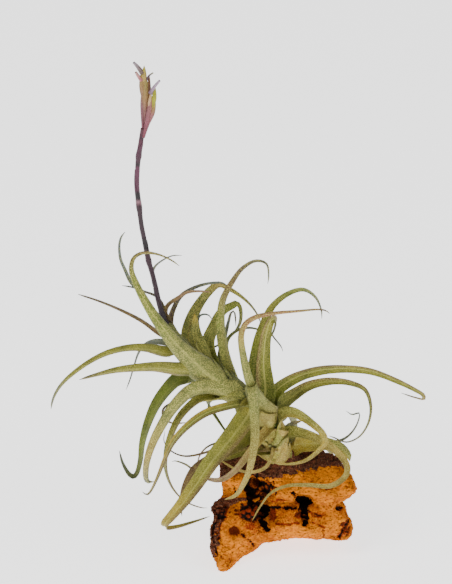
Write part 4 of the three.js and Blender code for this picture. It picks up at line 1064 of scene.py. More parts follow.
def leaf_tones(look, share, side_of, ring_of, upper, paints):
    """Colour of each point of a leaf from its look; upper is the side that lies higher."""
    _, _, high_edge, low_edge, stops = look
    tone = ramp_between(stops, share, paints.get)[ring_of]
    for edge, side in ((high_edge, upper), (low_edge, -upper)):
        if edge:
            weight = smooth(side_of * side, *EDGE_PAINT_SIDES) * EDGE_STRENGTH
            weight = weight * smooth(share, *EDGE_PAINT_COMES)[ring_of]
            tone = blend_between(tone, np.array([*paints[edge], 1.0]), weight[:, None])
    return tone


def build_leaf(row, number, sizes, material, paints):
    """One leaf with its sheath."""
    name, _, width, *_, look = row
    scurf, crease, *_ = look
    centres, ups, half_arc, spread, thick, edge, share = leaf_shape(row, number, sizes)
    stations = BROAD_STATIONS if width > BROAD_LEAF else NARROW_STATIONS
    points, faces, side_of, ring_of, grain = channel(
        centres, ups, half_arc, spread, thick, edge, stations, number)
    read_ring = ring_of == int(len(centres) * SIDES_READ_AT)
    rows = seen(points[read_ring])[1]
    sides = side_of[read_ring]
    upper = -1 if rows[np.argmin(sides)] < rows[np.argmax(sides)] else 1
    tone = leaf_tones(look, share, side_of, ring_of, upper, paints)
    marks = np.stack(np.broadcast_arrays(side_of, crease, scurf), axis=-1)
    add_piece(
        "leaf_" + name, points, faces, material, LEAF_NODES, "leaf", tone=tone, grain=grain, marks=marks)


def build_stem(material, paints):
    """The stem inside its sheaths, a little wrinkled."""
    distances = np.arange(-STEM_BELOW_FOOT, STEM_LENGTHS[-1] + STEM_PAST_APEX, STEM_SPACING)
    centres = np.array([stem_at(distance)[0] for distance in distances])
    tangents = tangents_of(centres)
    ups = carried_ups(tangents, (0, 1, 0), 0)
    wrinkles = STEM_WRINKLES * wander(distances / WRINKLE_LENGTH, 4.0)
    radii = stem_radius(distances) * (STEM_SLIMNESS + wrinkles)
    radii[-2:] *= STEM_TIP_SHARES
    points, faces = tube(centres, ups, np.cross(tangents, ups), radii, STEM_SIDES)
    tone = np.tile([*paints["shade"], 1.0], (len(points), 1))
    grain = tube_grain(turns_of(STEM_SIDES) * STEM_GIRTH, distances, 3.0)
    marks = np.tile(STEM_MARKS, (len(points), 1))
    add_piece("stem", points, faces, material, LEAF_NODES, "leaf", tone=tone, grain=grain, marks=marks)


GOLDEN_ANGLE = math.radians(137.5)
DRY_FROM = 7.5
DRY_TO = 27.0
DRY_CROWDING = 1.2
DRY_LENGTHS = (8, 13)
DRY_RISE = 0.1
DRY_FLARES = (1.12, 1.32)
LOWEST_FLARE = 0.4
LOWEST_FLARE_GOES = (0.1, 0.55)
DRY_FOOT = 0.75
DRY_SPACING = 0.9
DRY_SPREADS = (60, 95)
DRY_WIDTH = 1.05
DRY_COMES = (-0.3, 0.3)
DRY_NARROWS = (0.3, 1.02)
DRY_TIP = 0.05
DRY_THICKNESS = 0.3
DRY_EDGE = 0.12
DRY_STATIONS = 9
DRY_LAYERS = 60
DRY_MARKS = (0.5, 0.0, 0.9)
TORN_EDGE = 0.12
TEAR_LENGTH = 1.4
DRY_PAINTS = ("beige", "gold", "beige", "olive")
GREEN_TIPS = 0.35

# Line of a dry sheath above its foot: share of its length, and how far beyond its flare
DRY_LINE = ((0.35, 0.0), (0.7, 0.04), (1.0, -0.12))


def old_sheath(number, share, random, paints):
    """One dry sheath at a share of the sheathed stretch: its points, faces, tones and grain."""
    base = blend_between(DRY_FROM, DRY_TO, share ** DRY_CROWDING)
    length = random.uniform(*DRY_LENGTHS)
    azimuth = number * GOLDEN_ANGLE
    out = np.array([math.cos(azimuth), math.sin(azimuth), DRY_RISE])
    flare = random.uniform(*DRY_FLARES) + LOWEST_FLARE * (1 - smooth(share, *LOWEST_FLARE_GOES))
    foot = on_stem(base, out, DRY_FOOT)
    above = [on_stem(base + length * high, out, flare + further) for high, further in DRY_LINE]
    centres, lengths = even_curve(np.vstack([foot, *above]), DRY_SPACING)
    ups = carried_ups(tangents_of(centres), stem_at(base)[0] - foot, 0)
    fraction = lengths / lengths[-1]
    spread = np.full(len(centres), math.radians(random.uniform(*DRY_SPREADS)))
    torn = 1 + TORN_EDGE * wander(lengths / TEAR_LENGTH, number + 20)
    shown = smooth(fraction, *DRY_COMES) * (1 - smooth(fraction, *DRY_NARROWS))
    narrowing = shown * (1 - DRY_TIP) + DRY_TIP
    half_arc = stem_radius(base) * DRY_WIDTH * spread * narrowing * torn
    points, faces, _, ring_of, grain = channel(
        centres, ups, half_arc, spread, DRY_THICKNESS, DRY_EDGE, DRY_STATIONS,
        number + DRY_LAYERS)
    foot_paint = DRY_PAINTS[int(random.integers(0, len(DRY_PAINTS)))]
    tip_paint = "olive" if random.random() < GREEN_TIPS else "beige"
    tone = ramp_between(f"0 {foot_paint}, 1 {tip_paint}", fraction, paints.get)[ring_of]
    return points, faces, tone, grain


def build_old_sheaths(sizes, material, paints):
    """Dry papery sheaths of lost leaves, which clasp the stem between the living ones."""
    random = np.random.default_rng(7)
    count = sizes.sheath_count
    shapes = [old_sheath(number, number / count, random, paints) for number in range(count)]
    add_joined("old_sheaths", shapes, material, LEAF_NODES, "leaf", marks=DRY_MARKS)


# The scape, its spikes and its flowers

SCAPE_LINE = place(SCAPE_AXIS)
SCAPE_STEPS = 260
SCAPE_SIDES = 24
SCAPE_GIRTH = 7.2
SCAPE_WAVER = 0.03
SCAPE_WAVES = 40
JOINT_HALF_LENGTH = 0.025
JOINT_STEEPNESS = 1.6
JOINT_SWELL = 0.25

# Joints of the scape: where along it, how far the bract above it reaches, and to which side, in
# degrees, that bract turns
SCAPE_JOINTS = [[0.16, 0.1, 200], [0.4, 0.12, 20], [0.66, 0.14, 160], [0.86, 0.08, 320]]
CLASP_BELOW = 0.005
CLASP_RINGS = 40
CLASP_STATIONS = 9
CLASP_LAYERS = 80
CLASP_GAP = 0.06
CLASP_FLARE = 0.12
CLASP_SPREAD = math.radians(120)
CLASP_TIP = 0.12
CLASP_NARROWS = (0.2, 1.0)
CLASP_THICKNESS = 0.16
CLASP_EDGE = 0.08

# Colours down the scape, by the row of the photograph at which each is seen
SCAPE_TONES = (
    "128 #5C3A3C, 134 #4C2834, 138 #2E1420, 142 #4E2836, 150 #482838, 162 #3A202C, 165 #180C12, "
    "168 #542C40, 190 #482636, 194 #140A10, 199 #140A10, 202 #907078, 206 #301620, 222 #24121A, "
    "236 #2C1622, 241 #12090E, 248 #12090E, 253 #361C28, 280 #2A1620, 300 #2E1824, 315 #1C1018, "
    "330 #180E14"
)


def scape_radius(fraction):
    """Radius of the scape with its swollen joints."""
    swell = np.zeros_like(fraction)
    for joint, _, _ in SCAPE_JOINTS:
        away = np.abs(fraction - joint) / JOINT_HALF_LENGTH
        swell = np.maximum(swell, np.exp(-JOINT_STEEPNESS * away**2))
    return blend_between(SCAPE_RADIUS, SCAPE_TOP_RADIUS, fraction) + swell * JOINT_SWELL


def scape_tones(points):
    """Colours of points of the scape, by the row at which each is seen."""
    return ramp_between(SCAPE_TONES, seen(points)[1])


def build_scape(sizes, material):
    """The dark stalk with its joints."""
    fractions = np.linspace(0, 1, SCAPE_STEPS + 1)
    centres = curve_points(SCAPE_LINE, fractions)
    tangents = tangents_of(centres)
    ups = carried_ups(tangents, (0, 1, 0), 0)
    waver = 1 + SCAPE_WAVER * wander(fractions * SCAPE_WAVES, 9.0)
    radii = scape_radius(fractions) * sizes.scape_thickness * waver
    points, faces = tube(centres, ups, np.cross(tangents, ups), radii, SCAPE_SIDES)
    grain = tube_grain(turns_of(SCAPE_SIDES) * SCAPE_GIRTH, lengths_along(centres), 5.0)
    add_piece(
        "scape", points, faces, material, ["flower_scape"], "scape", tone=scape_tones(points), grain=grain)


def scape_bract(joint, reach, azimuth, number, sizes):
    """One thin bract that clasps the scape above a joint: its points, faces, tones and grain."""
    fractions = np.linspace(joint - CLASP_BELOW, joint + reach, CLASP_RINGS)
    centres = curve_points(SCAPE_LINE, fractions)
    turn = math.radians(azimuth)
    ups = carried_ups(tangents_of(centres), (-math.cos(turn), -math.sin(turn), 0), 0)
    share = np.linspace(0, 1, CLASP_RINGS)
    clear = CLASP_GAP + CLASP_FLARE * share
    radius = scape_radius(fractions) * sizes.scape_thickness + clear
    spread = CLASP_SPREAD * (1 - smooth(share, *CLASP_NARROWS)) + CLASP_TIP
    points, faces, _, _, grain = channel(
        centres - ups * radius[:, None], ups, radius * spread, spread, CLASP_THICKNESS,
        CLASP_EDGE, CLASP_STATIONS, number + CLASP_LAYERS)
    return points, faces, scape_tones(points), grain


def build_scape_sheaths(sizes, material):
    """The thin bracts that clasp the scape above each joint."""
    shapes = [scape_bract(*joint, number, sizes) for number, joint in enumerate(SCAPE_JOINTS)]
    add_joined("scape_sheaths", shapes, material, ["flower_scape"], "scape")


BRACT_STEPS = 40
BRACT_SIDES = 28
BRACT_FLATNESS = 0.72
BRACT_FULL_BY = 0.6
BRACT_NARROWS_FROM = 0.55
BRACT_TIP = 0.1
BRACT_POINT = 0.35
BRACT_WAVER = 0.03
BRACT_WAVES = 6
BRACT_LAYER_STEP = 5.1
KEEL_HEIGHT = 0.14
KEEL_REACH = 0.16
LAP_DEPTH = 0.1
LAP_REACH = 0.1
LAP_AT = 0.72
BRACT_EDGE_SIDES = (0.72, 1.0)
BRACT_EDGE_STRENGTH = 0.8


def bract_share(fraction, foot_share):
    """Width of a bract as a share of its full width."""
    foot = blend_between(foot_share, 1, smooth(fraction, 0, BRACT_FULL_BY))
    tip = np.maximum(fraction - BRACT_NARROWS_FROM, 0) / (1 - BRACT_NARROWS_FROM)
    return foot * blend_between(1, BRACT_TIP, tip**2)


def bract(row, number):
    """One keeled, boat-shaped bract with a keel outside and lapped edges: points, faces, tones, grain."""
    foot, tip, half_width, bow, foot_share, stops, edge_text = row
    low, high = place([foot, tip])
    direction = unit(high - low)
    side = unit(np.cross(direction, TO_VIEWER))
    share = np.linspace(0, 1, BRACT_STEPS + 1)
    centres = curve_points(np.array([low, (low + high) / 2 + side * bow, high]), share)
    tangents = tangents_of(centres)
    ups = carried_ups(tangents, side, 0)
    half = half_width * bract_share(share, foot_share)
    half = (half * (1 + BRACT_WAVER * wander(share * BRACT_WAVES, number)))[:, None]
    angles = turns_of(BRACT_SIDES) * math.tau
    wide = np.cos(angles)
    keel = 1 + KEEL_HEIGHT * hump(wide, KEEL_REACH)
    lap = 1 - LAP_DEPTH * hump(np.abs(wide) - LAP_AT, LAP_REACH)
    deep = np.sin(angles) * keel * lap
    rings = ring_points(centres, ups, half * wide, np.cross(tangents, ups), half * BRACT_FLATNESS * deep)
    points, faces = closed_tube(rings, centres[0], centres[-1] + direction * BRACT_POINT)
    along = ramp_between(stops, np.repeat(share, BRACT_SIDES))
    edge = np.array([*paint(edge_text), 1.0])
    weight = np.tile(smooth(np.abs(wide), *BRACT_EDGE_SIDES), BRACT_STEPS + 1) * BRACT_EDGE_STRENGTH
    tone = with_ends(blend_between(along, edge, weight[:, None]))
    grain = tube_grain(wide * half_width, lengths_along(centres), number * BRACT_LAYER_STEP)
    return points, faces, tone, grain


def build_spike(name, rows, node, slot, material):
    """The overlapping bracts of one spike."""
    shapes = [bract(row, number + 1.0) for number, row in enumerate(rows)]
    add_joined(name, shapes, material, [node], slot)


PETAL_STEPS = 24
PETAL_SIDES = 20
PETAL_TIP = 0.5
PETAL_WAVER = 0.04
PETAL_WAVES = 5
PETAL_LAP = 0.16
PETAL_INSIDE_STEPS = 6
PETAL_DEPTH = 2.2
PETAL_INSIDE_WIDTHS = (0.8, 0.45)
PETAL_INSIDE_COLOURS = (0.9, 0.2)
# How dark the painted shade inside a petal's open end is
PETAL_INSIDE_SHADE = 0.3
PETAL_GIRTH = 6
PETAL_LENGTH = 8
PETAL_LAYER_STEP = 9
PETAL_TONES = {
    "flower_top": "0 #5E5048, 0.5 #786A6C, 1 #9A9098",
    "flower_left": "0 #A0686A, 0.6 #B88886, 1 #B89A94",
    "flower_right": "0 #5A4448, 0.6 #4E4048, 1 #8E8E6C",
    "flower_side": "0 #7A6470, 0.5 #9A8797, 1 #B4A6B4",
}


def build_petal(name, readings, radius, material):
    """One rolled petal: a tube with a lapped edge, whose end folds inwards to leave it open."""
    share = np.linspace(0, 1, PETAL_STEPS + 1)
    centres = curve_points(place(readings), share)
    tangents = tangents_of(centres)
    ups = carried_ups(tangents, (0, 1, 0), 0)
    radii = radius * blend_between(1, PETAL_TIP, share)
    radii = radii * (1 + PETAL_WAVER * wander(share * PETAL_WAVES, radius))
    inward = np.linspace(0, 1, PETAL_INSIDE_STEPS + 1)[1:]
    centres = np.vstack([centres, centres[-1] - tangents[-1] * (inward * PETAL_DEPTH)[:, None]])
    radii = np.concatenate([radii, radii[-1] * blend_between(*PETAL_INSIDE_WIDTHS, inward)])
    ups, across = (
        np.vstack([ways, np.tile(ways[-1], (len(inward), 1))]) for ways in (ups, np.cross(tangents, ups)))
    points, faces = tube(centres, ups, across, radii, PETAL_SIDES, PETAL_LAP)
    fraction = np.concatenate([share, np.linspace(*PETAL_INSIDE_COLOURS, len(inward))])
    tone = ramp_between(PETAL_TONES[name], np.repeat(fraction, PETAL_SIDES))
    # Painted shade inside the open end: its inner rings are darkened.
    tone[(PETAL_STEPS + 2) * PETAL_SIDES:, :3] *= PETAL_INSIDE_SHADE
    around = turns_of(PETAL_SIDES) * PETAL_GIRTH * radius
    grain = tube_grain(around, fraction * PETAL_LENGTH, radius * PETAL_LAYER_STEP)
    add_piece(name + "_petal", points, faces, material, [name], "petal", tone=with_ends(tone), grain=grain)


# Left and right ends of the block: height and x
LEFT_END = [[0, -29], [20, -28.5], [33, -28], [42, -28.5], [46, -31.5], [50, -32.5]]
RIGHT_END = [[0, 34], [20, 34.5], [31, 33.5], [42, 35], [50, 37]]

# Named forms: middle (x, back, height), reach in each direction, and how far they push
BLOCK_FORMS = [
  ["left_lump", [-30, -12, 18], [15, 17, 18], [-10, -9, 0]],
  ["left_foot", [-31, -14, 0], [12, 15, 14], [0, -13, -5]],
  ["lump_shoulder", [-33, -16, 33], [8, 12, 5.5], [-6, 0, 0]],
  ["upper_ledge", [16, -10, 42], [26, 8, 8], [0, -4, 0]],
  ["lower_ledge", [12, -10, 20], [34, 8, 10], [0, -3, 0]],
  ["front_undercut", [15, -6, 0], [30, 22, 14], [0, 2, 10.5]],
  ["middle_undercut", [-4, -8, 0], [9, 14, 11], [0, 4, 2]],
  ["right_upper_bulge", [36, -4, 40], [10, 15, 7], [4.5, 0, 0]],
  ["right_lower_bulge", [36, -4, 17], [10, 15, 10], [4.5, 0, -2]],
  ["groove", [4, -12, 31.5], [15, 8, 2.8], [0, 6, 0]],
  ["dark_hollow", [-12, -9, 40], [9.5, 11, 7.5], [1, 11, -1]],
  ["black_hole", [13, -12, 34], [4.4, 9, 6], [0, 11, 0]],
  ["hole_tail", [13, -12, 25], [3, 8, 5], [0, 8, 0]],
  ["crevice", [-8, -12, 27], [3.6, 12, 9], [0, 11, 0]],
  ["round_hole", [-23, -20, 20], [3.8, 7, 4], [0, 6, 0]],
  ["right_notch", [36, -4, 30.5], [8, 16, 4], [-5, 0, 0]],
  ["lump_shelf", [-26, -14, 38], [16, 12, 6], [0, 8, -2]],
  ["back_foot", [0, 22, 0], [44, 11, 9], [0, 0, -7]],
  ["back_right", [34, 26, 30], [18, 14, 30], [-3, -8, 0]],
  ["top_rise", [-14, 22, 50], [26, 18, 16], [0, 0, 3]],
  ["top_front", [10, -10, 50], [44, 12, 10], [0, 0, -3]],
  ["top_right", [36, 8, 50], [14, 30, 14], [0, 0, -2]],
  ["right_top_corner", [34, -8, 47], [10, 14, 8], [3.5, 0, 0]],
]

# Ripples of the bark and cork: reach of a wave along x, y and z, its phase and its height
BLOCK_RIPPLES = [
  [0.31, 0.17, 0.23, 0.4, 0.5],
  [-0.21, 0.36, 0.44, 1.9, 0.4],
  [0.52, -0.43, 0.62, 2.6, 0.3],
  [0.74, 0.66, -0.87, 4.1, 0.2],
]

# Cracks, holes and seams of the cork's front, where they are seen: how deep in millimetres, half
# width in pixels, how dark, as painted shade inside them, and how rust-brown from 0 to 1, and columns and
# rows of the photograph
CORK_STROKES = [
    ["fork_hole_left", 2.2, 2.2, 1.0, 0.3, [[293, 494], [297, 497.5], [300, 501]]],
    ["fork_hole_right", 2.6, 2.4, 1.0, 0.3, [[298, 496.5], [303, 499], [308.5, 500.5]]],
    ["fork_hole_middle", 3.0, 3.2, 1.0, 0.3, [[303.5, 501], [304.5, 504.5], [303.5, 508]]],
    ["fork_hole_stem", 2.6, 1.5, 1.0, 0.3, [[303.5, 508], [305, 514], [306, 518], [304, 524]]],
    ["long_groove", 1.2, 0.8, 0.9, 0.5, [[268, 507.5], [279, 506.5], [290, 507.5], [300, 506.5]]],
    ["long_groove_hole", 1.4, 1.4, 1.0, 0.5, [[286, 507.5], [292, 507], [297, 507.5]]],
    ["upright_crevice", 2.6, 2.3, 1.0, 0.4, [[264, 507], [264.5, 513], [263, 520], [264, 526],
    [266, 531.5]]],
    ["upright_crevice_top", 1.6, 1.8, 1.0, 0.4, [[258.5, 503], [262, 506.5], [266, 508]]],
    ["hollow_gap_top", 2.4, 1.8, 1.0, 0.2, [[256.5, 474.5], [256, 479], [257.5, 483]]],
    ["hollow_gap_left", 2.4, 2.8, 1.0, 0.2, [[250, 482], [248.5, 487], [250.5, 493], [250, 500],
    [253, 504]]],
    ["hollow_gap_middle", 1.8, 1.4, 1.0, 0.3, [[257, 483], [261, 488], [264, 494], [262, 500]]],
    ["hollow_gap_right", 1.4, 1.1, 0.9, 0.4, [[264, 481], [268, 486], [273, 489]]],
    ["left_crack", 1.0, 0.8, 0.9, 0.2, [[233, 486], [235, 490], [236, 495]]],
    ["right_streak_high", 0.8, 0.9, 0.6, 0.9, [[309, 512], [315, 514], [322, 517]]],
    ["right_streak_low", 0.5, 0.6, 0.3, 0.8, [[311, 522], [318, 524.5], [325, 528]]],
    ["upright_crack", 0.7, 0.5, 0.5, 0.6, [[324, 527], [323, 532], [324, 537]]],
    ["right_edge_groove", 1.3, 1.3, 1.0, 0.8, [[349.5, 519], [346, 526], [343, 532], [339, 537]]],
    ["right_edge_second", 0.7, 0.7, 0.7, 0.6, [[350, 526], [348, 531], [346, 537]]],
    ["lump_streak_one", 0.9, 1.0, 0.8, 0.8, [[224, 505], [219, 513], [215, 523], [213, 533]]],
    ["lump_streak_two", 0.8, 0.8, 0.8, 0.6, [[214, 510], [212, 520], [212, 532], [215, 545],
    [217, 556]]],
    ["lump_streak_three", 0.6, 0.7, 0.7, 0.9, [[229, 506], [224, 515], [220, 526], [218, 540]]],
    ["lump_streak_four", 0.5, 0.6, 0.6, 0.6, [[214, 530], [219, 537], [222, 545]]],
    ["foot_ridge_one", 0.4, 0.5, 0.4, 0.6, [[224, 553], [230, 558], [232, 564]]],
    ["foot_ridge_two", 0.4, 0.5, 0.4, 0.6, [[221, 556], [226, 561], [228, 566]]],
    ["foot_gap", 1.0, 0.8, 0.7, 0.6, [[243, 535], [250, 541], [255, 547]]],
    ["ledge_seam", 0.5, 0.6, 0.3, 0.8, [[270, 501], [278, 501.5], [286, 500]]],
    ["low_seam", 0.5, 0.7, 0.2, 0.8, [[276, 524], [288, 525], [299, 523]]],
    ["band_crack", 0.4, 0.5, 0.4, 0.7, [[313, 487], [322, 490], [332, 489]]],
]

# Patches of the cork's front: how deep in millimetres; how dark, as painted shade in hollows and under a
# leaf;
# how rust-brown, partly as painted shade; how lit, as painted light on lit faces and fresher cork; each from
# 0 to 1;
# column and row of the middle, and reach across and down in pixels
CORK_PATCHES = [
    # gap_under_leaf is painted shadow in the gap under the leaf above it.
    ["gap_under_leaf", 1.6, 1.0, 0.2, 0, [293, 452.5], [7, 2.6]],
    ["dark_hollow", 1.4, 0.3, 0.6, 0, [253, 488], [7, 11]],
    ["hollow_right", 1.0, 0.2, 0.6, 0, [267, 490], [9, 8]],
    ["low_hollow", 0.8, 0.42, 1.0, 0, [251, 513], [13, 9.5]],
    ["crevice_right", 0.8, 0.3, 1.0, 0, [272, 514], [4.5, 7]],
    ["under_crevice", 0.3, 0.0, 0.5, 0, [258, 530], [6, 5]],
    ["middle_shade", 0.3, 0.0, 0.35, 0, [286, 516], [13, 6]],
    ["round_hole", 1.4, 0.42, 1.0, 0, [235, 531.5], [4.6, 4.4]],
    ["orange_patch", -0.4, 0, 0.75, 0.6, [250, 526], [6.5, 4.5]],
    ["orange_left", -0.3, 0, 0, 1.0, [234, 484], [8, 6]],
    # notch_hole is painted shadow in the notch.
    ["notch_hole", 1.8, 0.9, 0.6, 0, [340, 507], [4.2, 3.0]],
    ["bright_band_left", -0.2, 0, 0, 0.9, [300, 480], [14, 6]],
    ["bright_band_right", -0.2, 0, 0, 1.0, [328, 476], [16, 8]],
    ["bright_upper", 0, 0, 0, 0.8, [310, 492], [26, 6]],
    ["bright_right", 0, 0, 0, 0.7, [346, 488], [7, 9]],
    ["bright_lump", 0, 0, 0, 0.9, [234, 548], [12, 9]],
    ["bright_low", 0, 0, 0, 0.9, [300, 533], [30, 6]],
    ["bright_corner", 0, 0, 0, 0.7, [333, 527], [9, 9]],
    ["rusty_right", 0.3, 0.1, 0.6, 0, [317, 515], [9, 3]],
    ["rusty_fork", 0.4, 0.2, 0.9, 0, [300, 516], [5, 3.5]],
]

# Crumbled spots of the cork's front: middle and reach as above, size of the lumps and how high
# they stand in millimetres, and how much painted shade lies between them
CORK_NUGGETS = [
    ["hollow_crumbs", [262, 490], [14, 9], 2.6, 2.6, 1.0],
    ["low_crumbs", [250, 512], [14, 10], 2.6, 1.8, 0.85],
    ["lump_crumbs", [222, 512], [8, 9], 2.4, 1.4, 0.8],
    ["fork_crumbs", [299, 514], [4, 4], 1.8, 1.0, 0.6],
    ["right_crumbs", [345, 528], [5, 8], 1.8, 0.7, 0.5],
]

# Lower edge of the bark strip along the front, as columns and rows of the photograph
BARK_EDGE = [
    [200, 500], [212, 488], [219, 478], [240, 474], [257, 477], [266, 479], [278, 480], [287, 478],
    [297, 474],
    [305, 471], [318, 468], [333, 466], [344, 465.6], [352, 468],
]

# The block itself: a finely divided form, with the photograph's cracks cut into its front

BLOCK_DIVISIONS = 127
BLOCK_ROUNDNESS = 9
FORM_SOFTNESS = 1.4
BLOCK_TOP = 50
BLOCK_FRONT = -9
BLOCK_BACK = 28

# Rims of the carved front: how squarely it faces the viewer, and how far forward it lies
SHOWN_FACING = (0.02, 0.3)
FRONT_PLACES = (4, 9)
NOISE_FALL = 0.7
NOISE_STEP = 2.1

STROKE_RAGGEDNESS = 1.5
STROKE_SWELLING = 0.8
THINNEST_STROKE = 0.3
STROKE_DARKENS = (0.28, 0.5)
STROKE_RUST_REACH = 2.6
STROKE_RUSTS = (0.2, 0.95)

PATCH_RAGGEDNESS = 0.35
PATCH_REACH = 1.4
PATCH_FADES_OVER = 0.8
PATCH_DARKENS = (0.2, 0.8)

NUGGET_RAGGEDNESS = 0.3
NUGGET_REACH = 1.25
NUGGET_FADES_OVER = 0.5
NUGGET_GAPS = (0.4, 0.6)
NUGGET_LEVEL = 0.5

FRONT_SPARED = 0.75
PIT_REACHES = (0.7, 2.4)
PIT_SHAPE = (1.3, 1, 0.9)
PIT_DEPTH = 0.5
PIT_DARKNESS = 0.8
CRACK_SPANS = (6.5, 6.5, 2.0)
CRACK_WIDTH = 0.75
CRACK_DEPTH = 0.9
CRACK_DARKNESS = 0.85
CRACK_RAGGEDNESS = 0.5
CUT_DARKENS = (0.3, 1.0)

# Strength of the painted shade and rust-brown in the creases
CREASE_DARKNESS = 0.3
BARK_RAGGEDNESS = 3
BARK_EDGE_SOFTNESS = (-1.5, 1.5)
BARK_GRAIN = (0.3, 0.3, 1.1)
BARK_HEIGHT = 1.6

# Left edge of the cork on the lump, beside which bark lies: row and column of the photograph
LUMP_EDGE = [[497, 250], [500, 246], [507, 228], [520, 222], [535, 219], [552, 217], [562, 210]]
LUMP_RAGGEDNESS = 6

# The raised collar of cork around the stem's foot
COLLAR_STEM_POINTS = 24
COLLAR_REACH = 6.0
COLLAR_RISE = 6.5
COLLAR_HEIGHTS = (38, 44)


def cube_grid(divisions):
    """Corners of a divided cube of half side 1, each once, and its faces, seen from outside."""
    number = {}
    faces = []
    for axis in range(3):
        for end in (0, divisions):
            for first in range(divisions):
                for second in range(divisions):
                    face = []
                    for a, b in ((0, 0), (1, 0), (1, 1), (0, 1)):
                        key = [0, 0, 0]
                        key[axis] = end
                        key[(axis + 1) % 3] = first + a
                        key[(axis + 2) % 3] = second + b
                        face.append(number.setdefault(tuple(key), len(number)))
                    faces.append(tuple(face if end else face[::-1]))
    return np.array(list(number)) * 2 / divisions - 1, faces


def table_at(table, places):
    """Values of a table of place and value."""
    return np.interp(places, *np.array(table).T)


def block_form(cube):
    """Points of the block, with y as distance back."""
    shaped = cube / (np.abs(cube) ** BLOCK_ROUNDNESS).sum(axis=1, keepdims=True) ** (1 / BLOCK_ROUNDNESS)
    height = (shaped[:, 2] + 1) / 2 * BLOCK_TOP
    left, right = table_at(LEFT_END, height), table_at(RIGHT_END, height)
    points = np.stack([
        blend_between(left, right, (shaped[:, 0] + 1) / 2),
        blend_between(BLOCK_FRONT, BLOCK_BACK, (shaped[:, 1] + 1) / 2),
        height,
    ], axis=-1)
    for _, middle, reach, push in BLOCK_FORMS:
        away = (((points - middle) / reach) ** 2).sum(axis=1, keepdims=True)
        points = points + np.array(push) * np.exp(-away * FORM_SOFTNESS)
    waves = np.zeros(len(points))
    for *reaches, phase, height in BLOCK_RIPPLES:
        waves = waves + height * np.sin(points @ np.array(reaches) + phase)
    return points + unit(shaped) * waves[:, None]


def outward_of(points, faces):
    """Outward direction at each point of a mesh of quads."""
    corners = np.array(faces)
    quads = points[corners]
    across = np.cross(quads[:, 2] - quads[:, 0], quads[:, 3] - quads[:, 1])
    total = np.zeros_like(points)
    for corner in range(4):
        np.add.at(total, corners[:, corner], across)
    return unit(total)


def distance_to_span(places, start, end):
    """Distance of places from the straight line between two of them."""
    span = end - start
    share = np.clip(((places - start) @ span) / span.dot(span), 0, 1)
    return np.linalg.norm(places - start - share[:, None] * span, axis=1)


def fractal(points, scale, octaves):
    """Layered noise between about -1 and 1 at points in millimetres."""
    return np.array([
        noise.fractal(Vector(point) * scale, NOISE_FALL, NOISE_STEP, octaves) for point in points.tolist()
    ])


class CorkSurface:
    """The block's points, where they are seen, how far each is pushed out, and its marks."""

    def __init__(self, points, faces):
        self.points = points
        self.outward = outward_of(points, faces)
        self.column, self.row = seen(points)
        self.facing = self.outward @ TO_VIEWER
        self.shown = smooth(self.facing, *SHOWN_FACING)
        self.front = self.shown * smooth(-points[:, 1], *FRONT_PLACES)
        self.push, self.hollow_shade, self.rust_and_shade, self.bright = np.zeros((4, len(points)))
        self.ragged = fractal(points, 0.45, 4)

    def shares_away(self, middle, reach):
        """Distance from a seen middle, as a share of its reach across and down."""
        return np.hypot((self.column - middle[0]) / reach[0], (self.row - middle[1]) / reach[1])

    def darken(self, amount):
        """Marks painted shade at least this strong."""
        self.hollow_shade = np.maximum(self.hollow_shade, amount)

    def redden(self, amount):
        """Marks rust-brown at least this strong: real reddish patches, and painted shade in creases,
        crevices and hollows.
        """
        self.rust_and_shade = np.maximum(self.rust_and_shade, amount)


def cut_strokes(cork):
    """Cuts the cracks, holes and seams of the front, with painted shade inside them and rust-brown along
    them.
    """
    places = np.stack([cork.column, cork.row], axis=-1)
    swelling = fractal(cork.points + 50, 0.3, 2)
    for _, deep, half_width, dark, rust, line in CORK_STROKES:
        line = np.array(line, float)
        away = np.min([distance_to_span(places, *ends) for ends in zip(line[:-1], line[1:])], axis=0)
        away = away + cork.ragged * STROKE_RAGGEDNESS
        reach = np.maximum(half_width * (1 + STROKE_SWELLING * swelling), THINNEST_STROKE)
        cut = hump(np.maximum(away, 0), reach) * cork.front
        cork.push -= deep * cut
        cork.darken(dark * smooth(cut, *STROKE_DARKENS))
        wide_cut = hump(away, half_width * STROKE_RUST_REACH) * cork.front
        cork.redden(rust * smooth(wide_cut, *STROKE_RUSTS))


def sink_patches(cork):
    """Sinks or lifts the patches of the front and colours them: painted shade in hollows and under a leaf,
    rust-brown, and painted light on lit faces.
    """
    for _, deep, dark, rust, light, middle, reach in CORK_PATCHES:
        away = cork.shares_away(middle, reach) + cork.ragged * PATCH_RAGGEDNESS
        cut = smooth(PATCH_REACH - away, 0, PATCH_FADES_OVER) * cork.shown
        cork.push -= deep * cut
        cork.darken(dark * smooth(cut, *PATCH_DARKENS))
        cork.redden(rust * cut)
        cork.bright = np.maximum(cork.bright, light * cut)


def crumble_spots(cork):
    """Breaks the crumbled spots of the front into lumps, with painted shade and rust-brown in the gaps and
    lit tops.
    """
    for _, middle, reach, size, high, dark in CORK_NUGGETS:
        away = cork.shares_away(middle, reach) + cork.ragged * NUGGET_RAGGEDNESS
        inside = smooth(NUGGET_REACH - away, 0, NUGGET_FADES_OVER) * cork.front
        lumps = np.array([noise.voronoi(Vector(point) / size)[0][0] for point in cork.points.tolist()])
        cork.push += inside * high * (NUGGET_LEVEL - lumps)
        gaps = smooth(lumps, *NUGGET_GAPS)
        # The lumps' tops lose half their painted shade, as if lit; the gaps get painted shade and more
        # rust-brown.
        cork.hollow_shade = cork.hollow_shade * (1 - inside * 0.5 * (1 - gaps))
        cork.darken(inside * dark * gaps)
        cork.redden(inside * (0.5 + 0.5 * gaps))


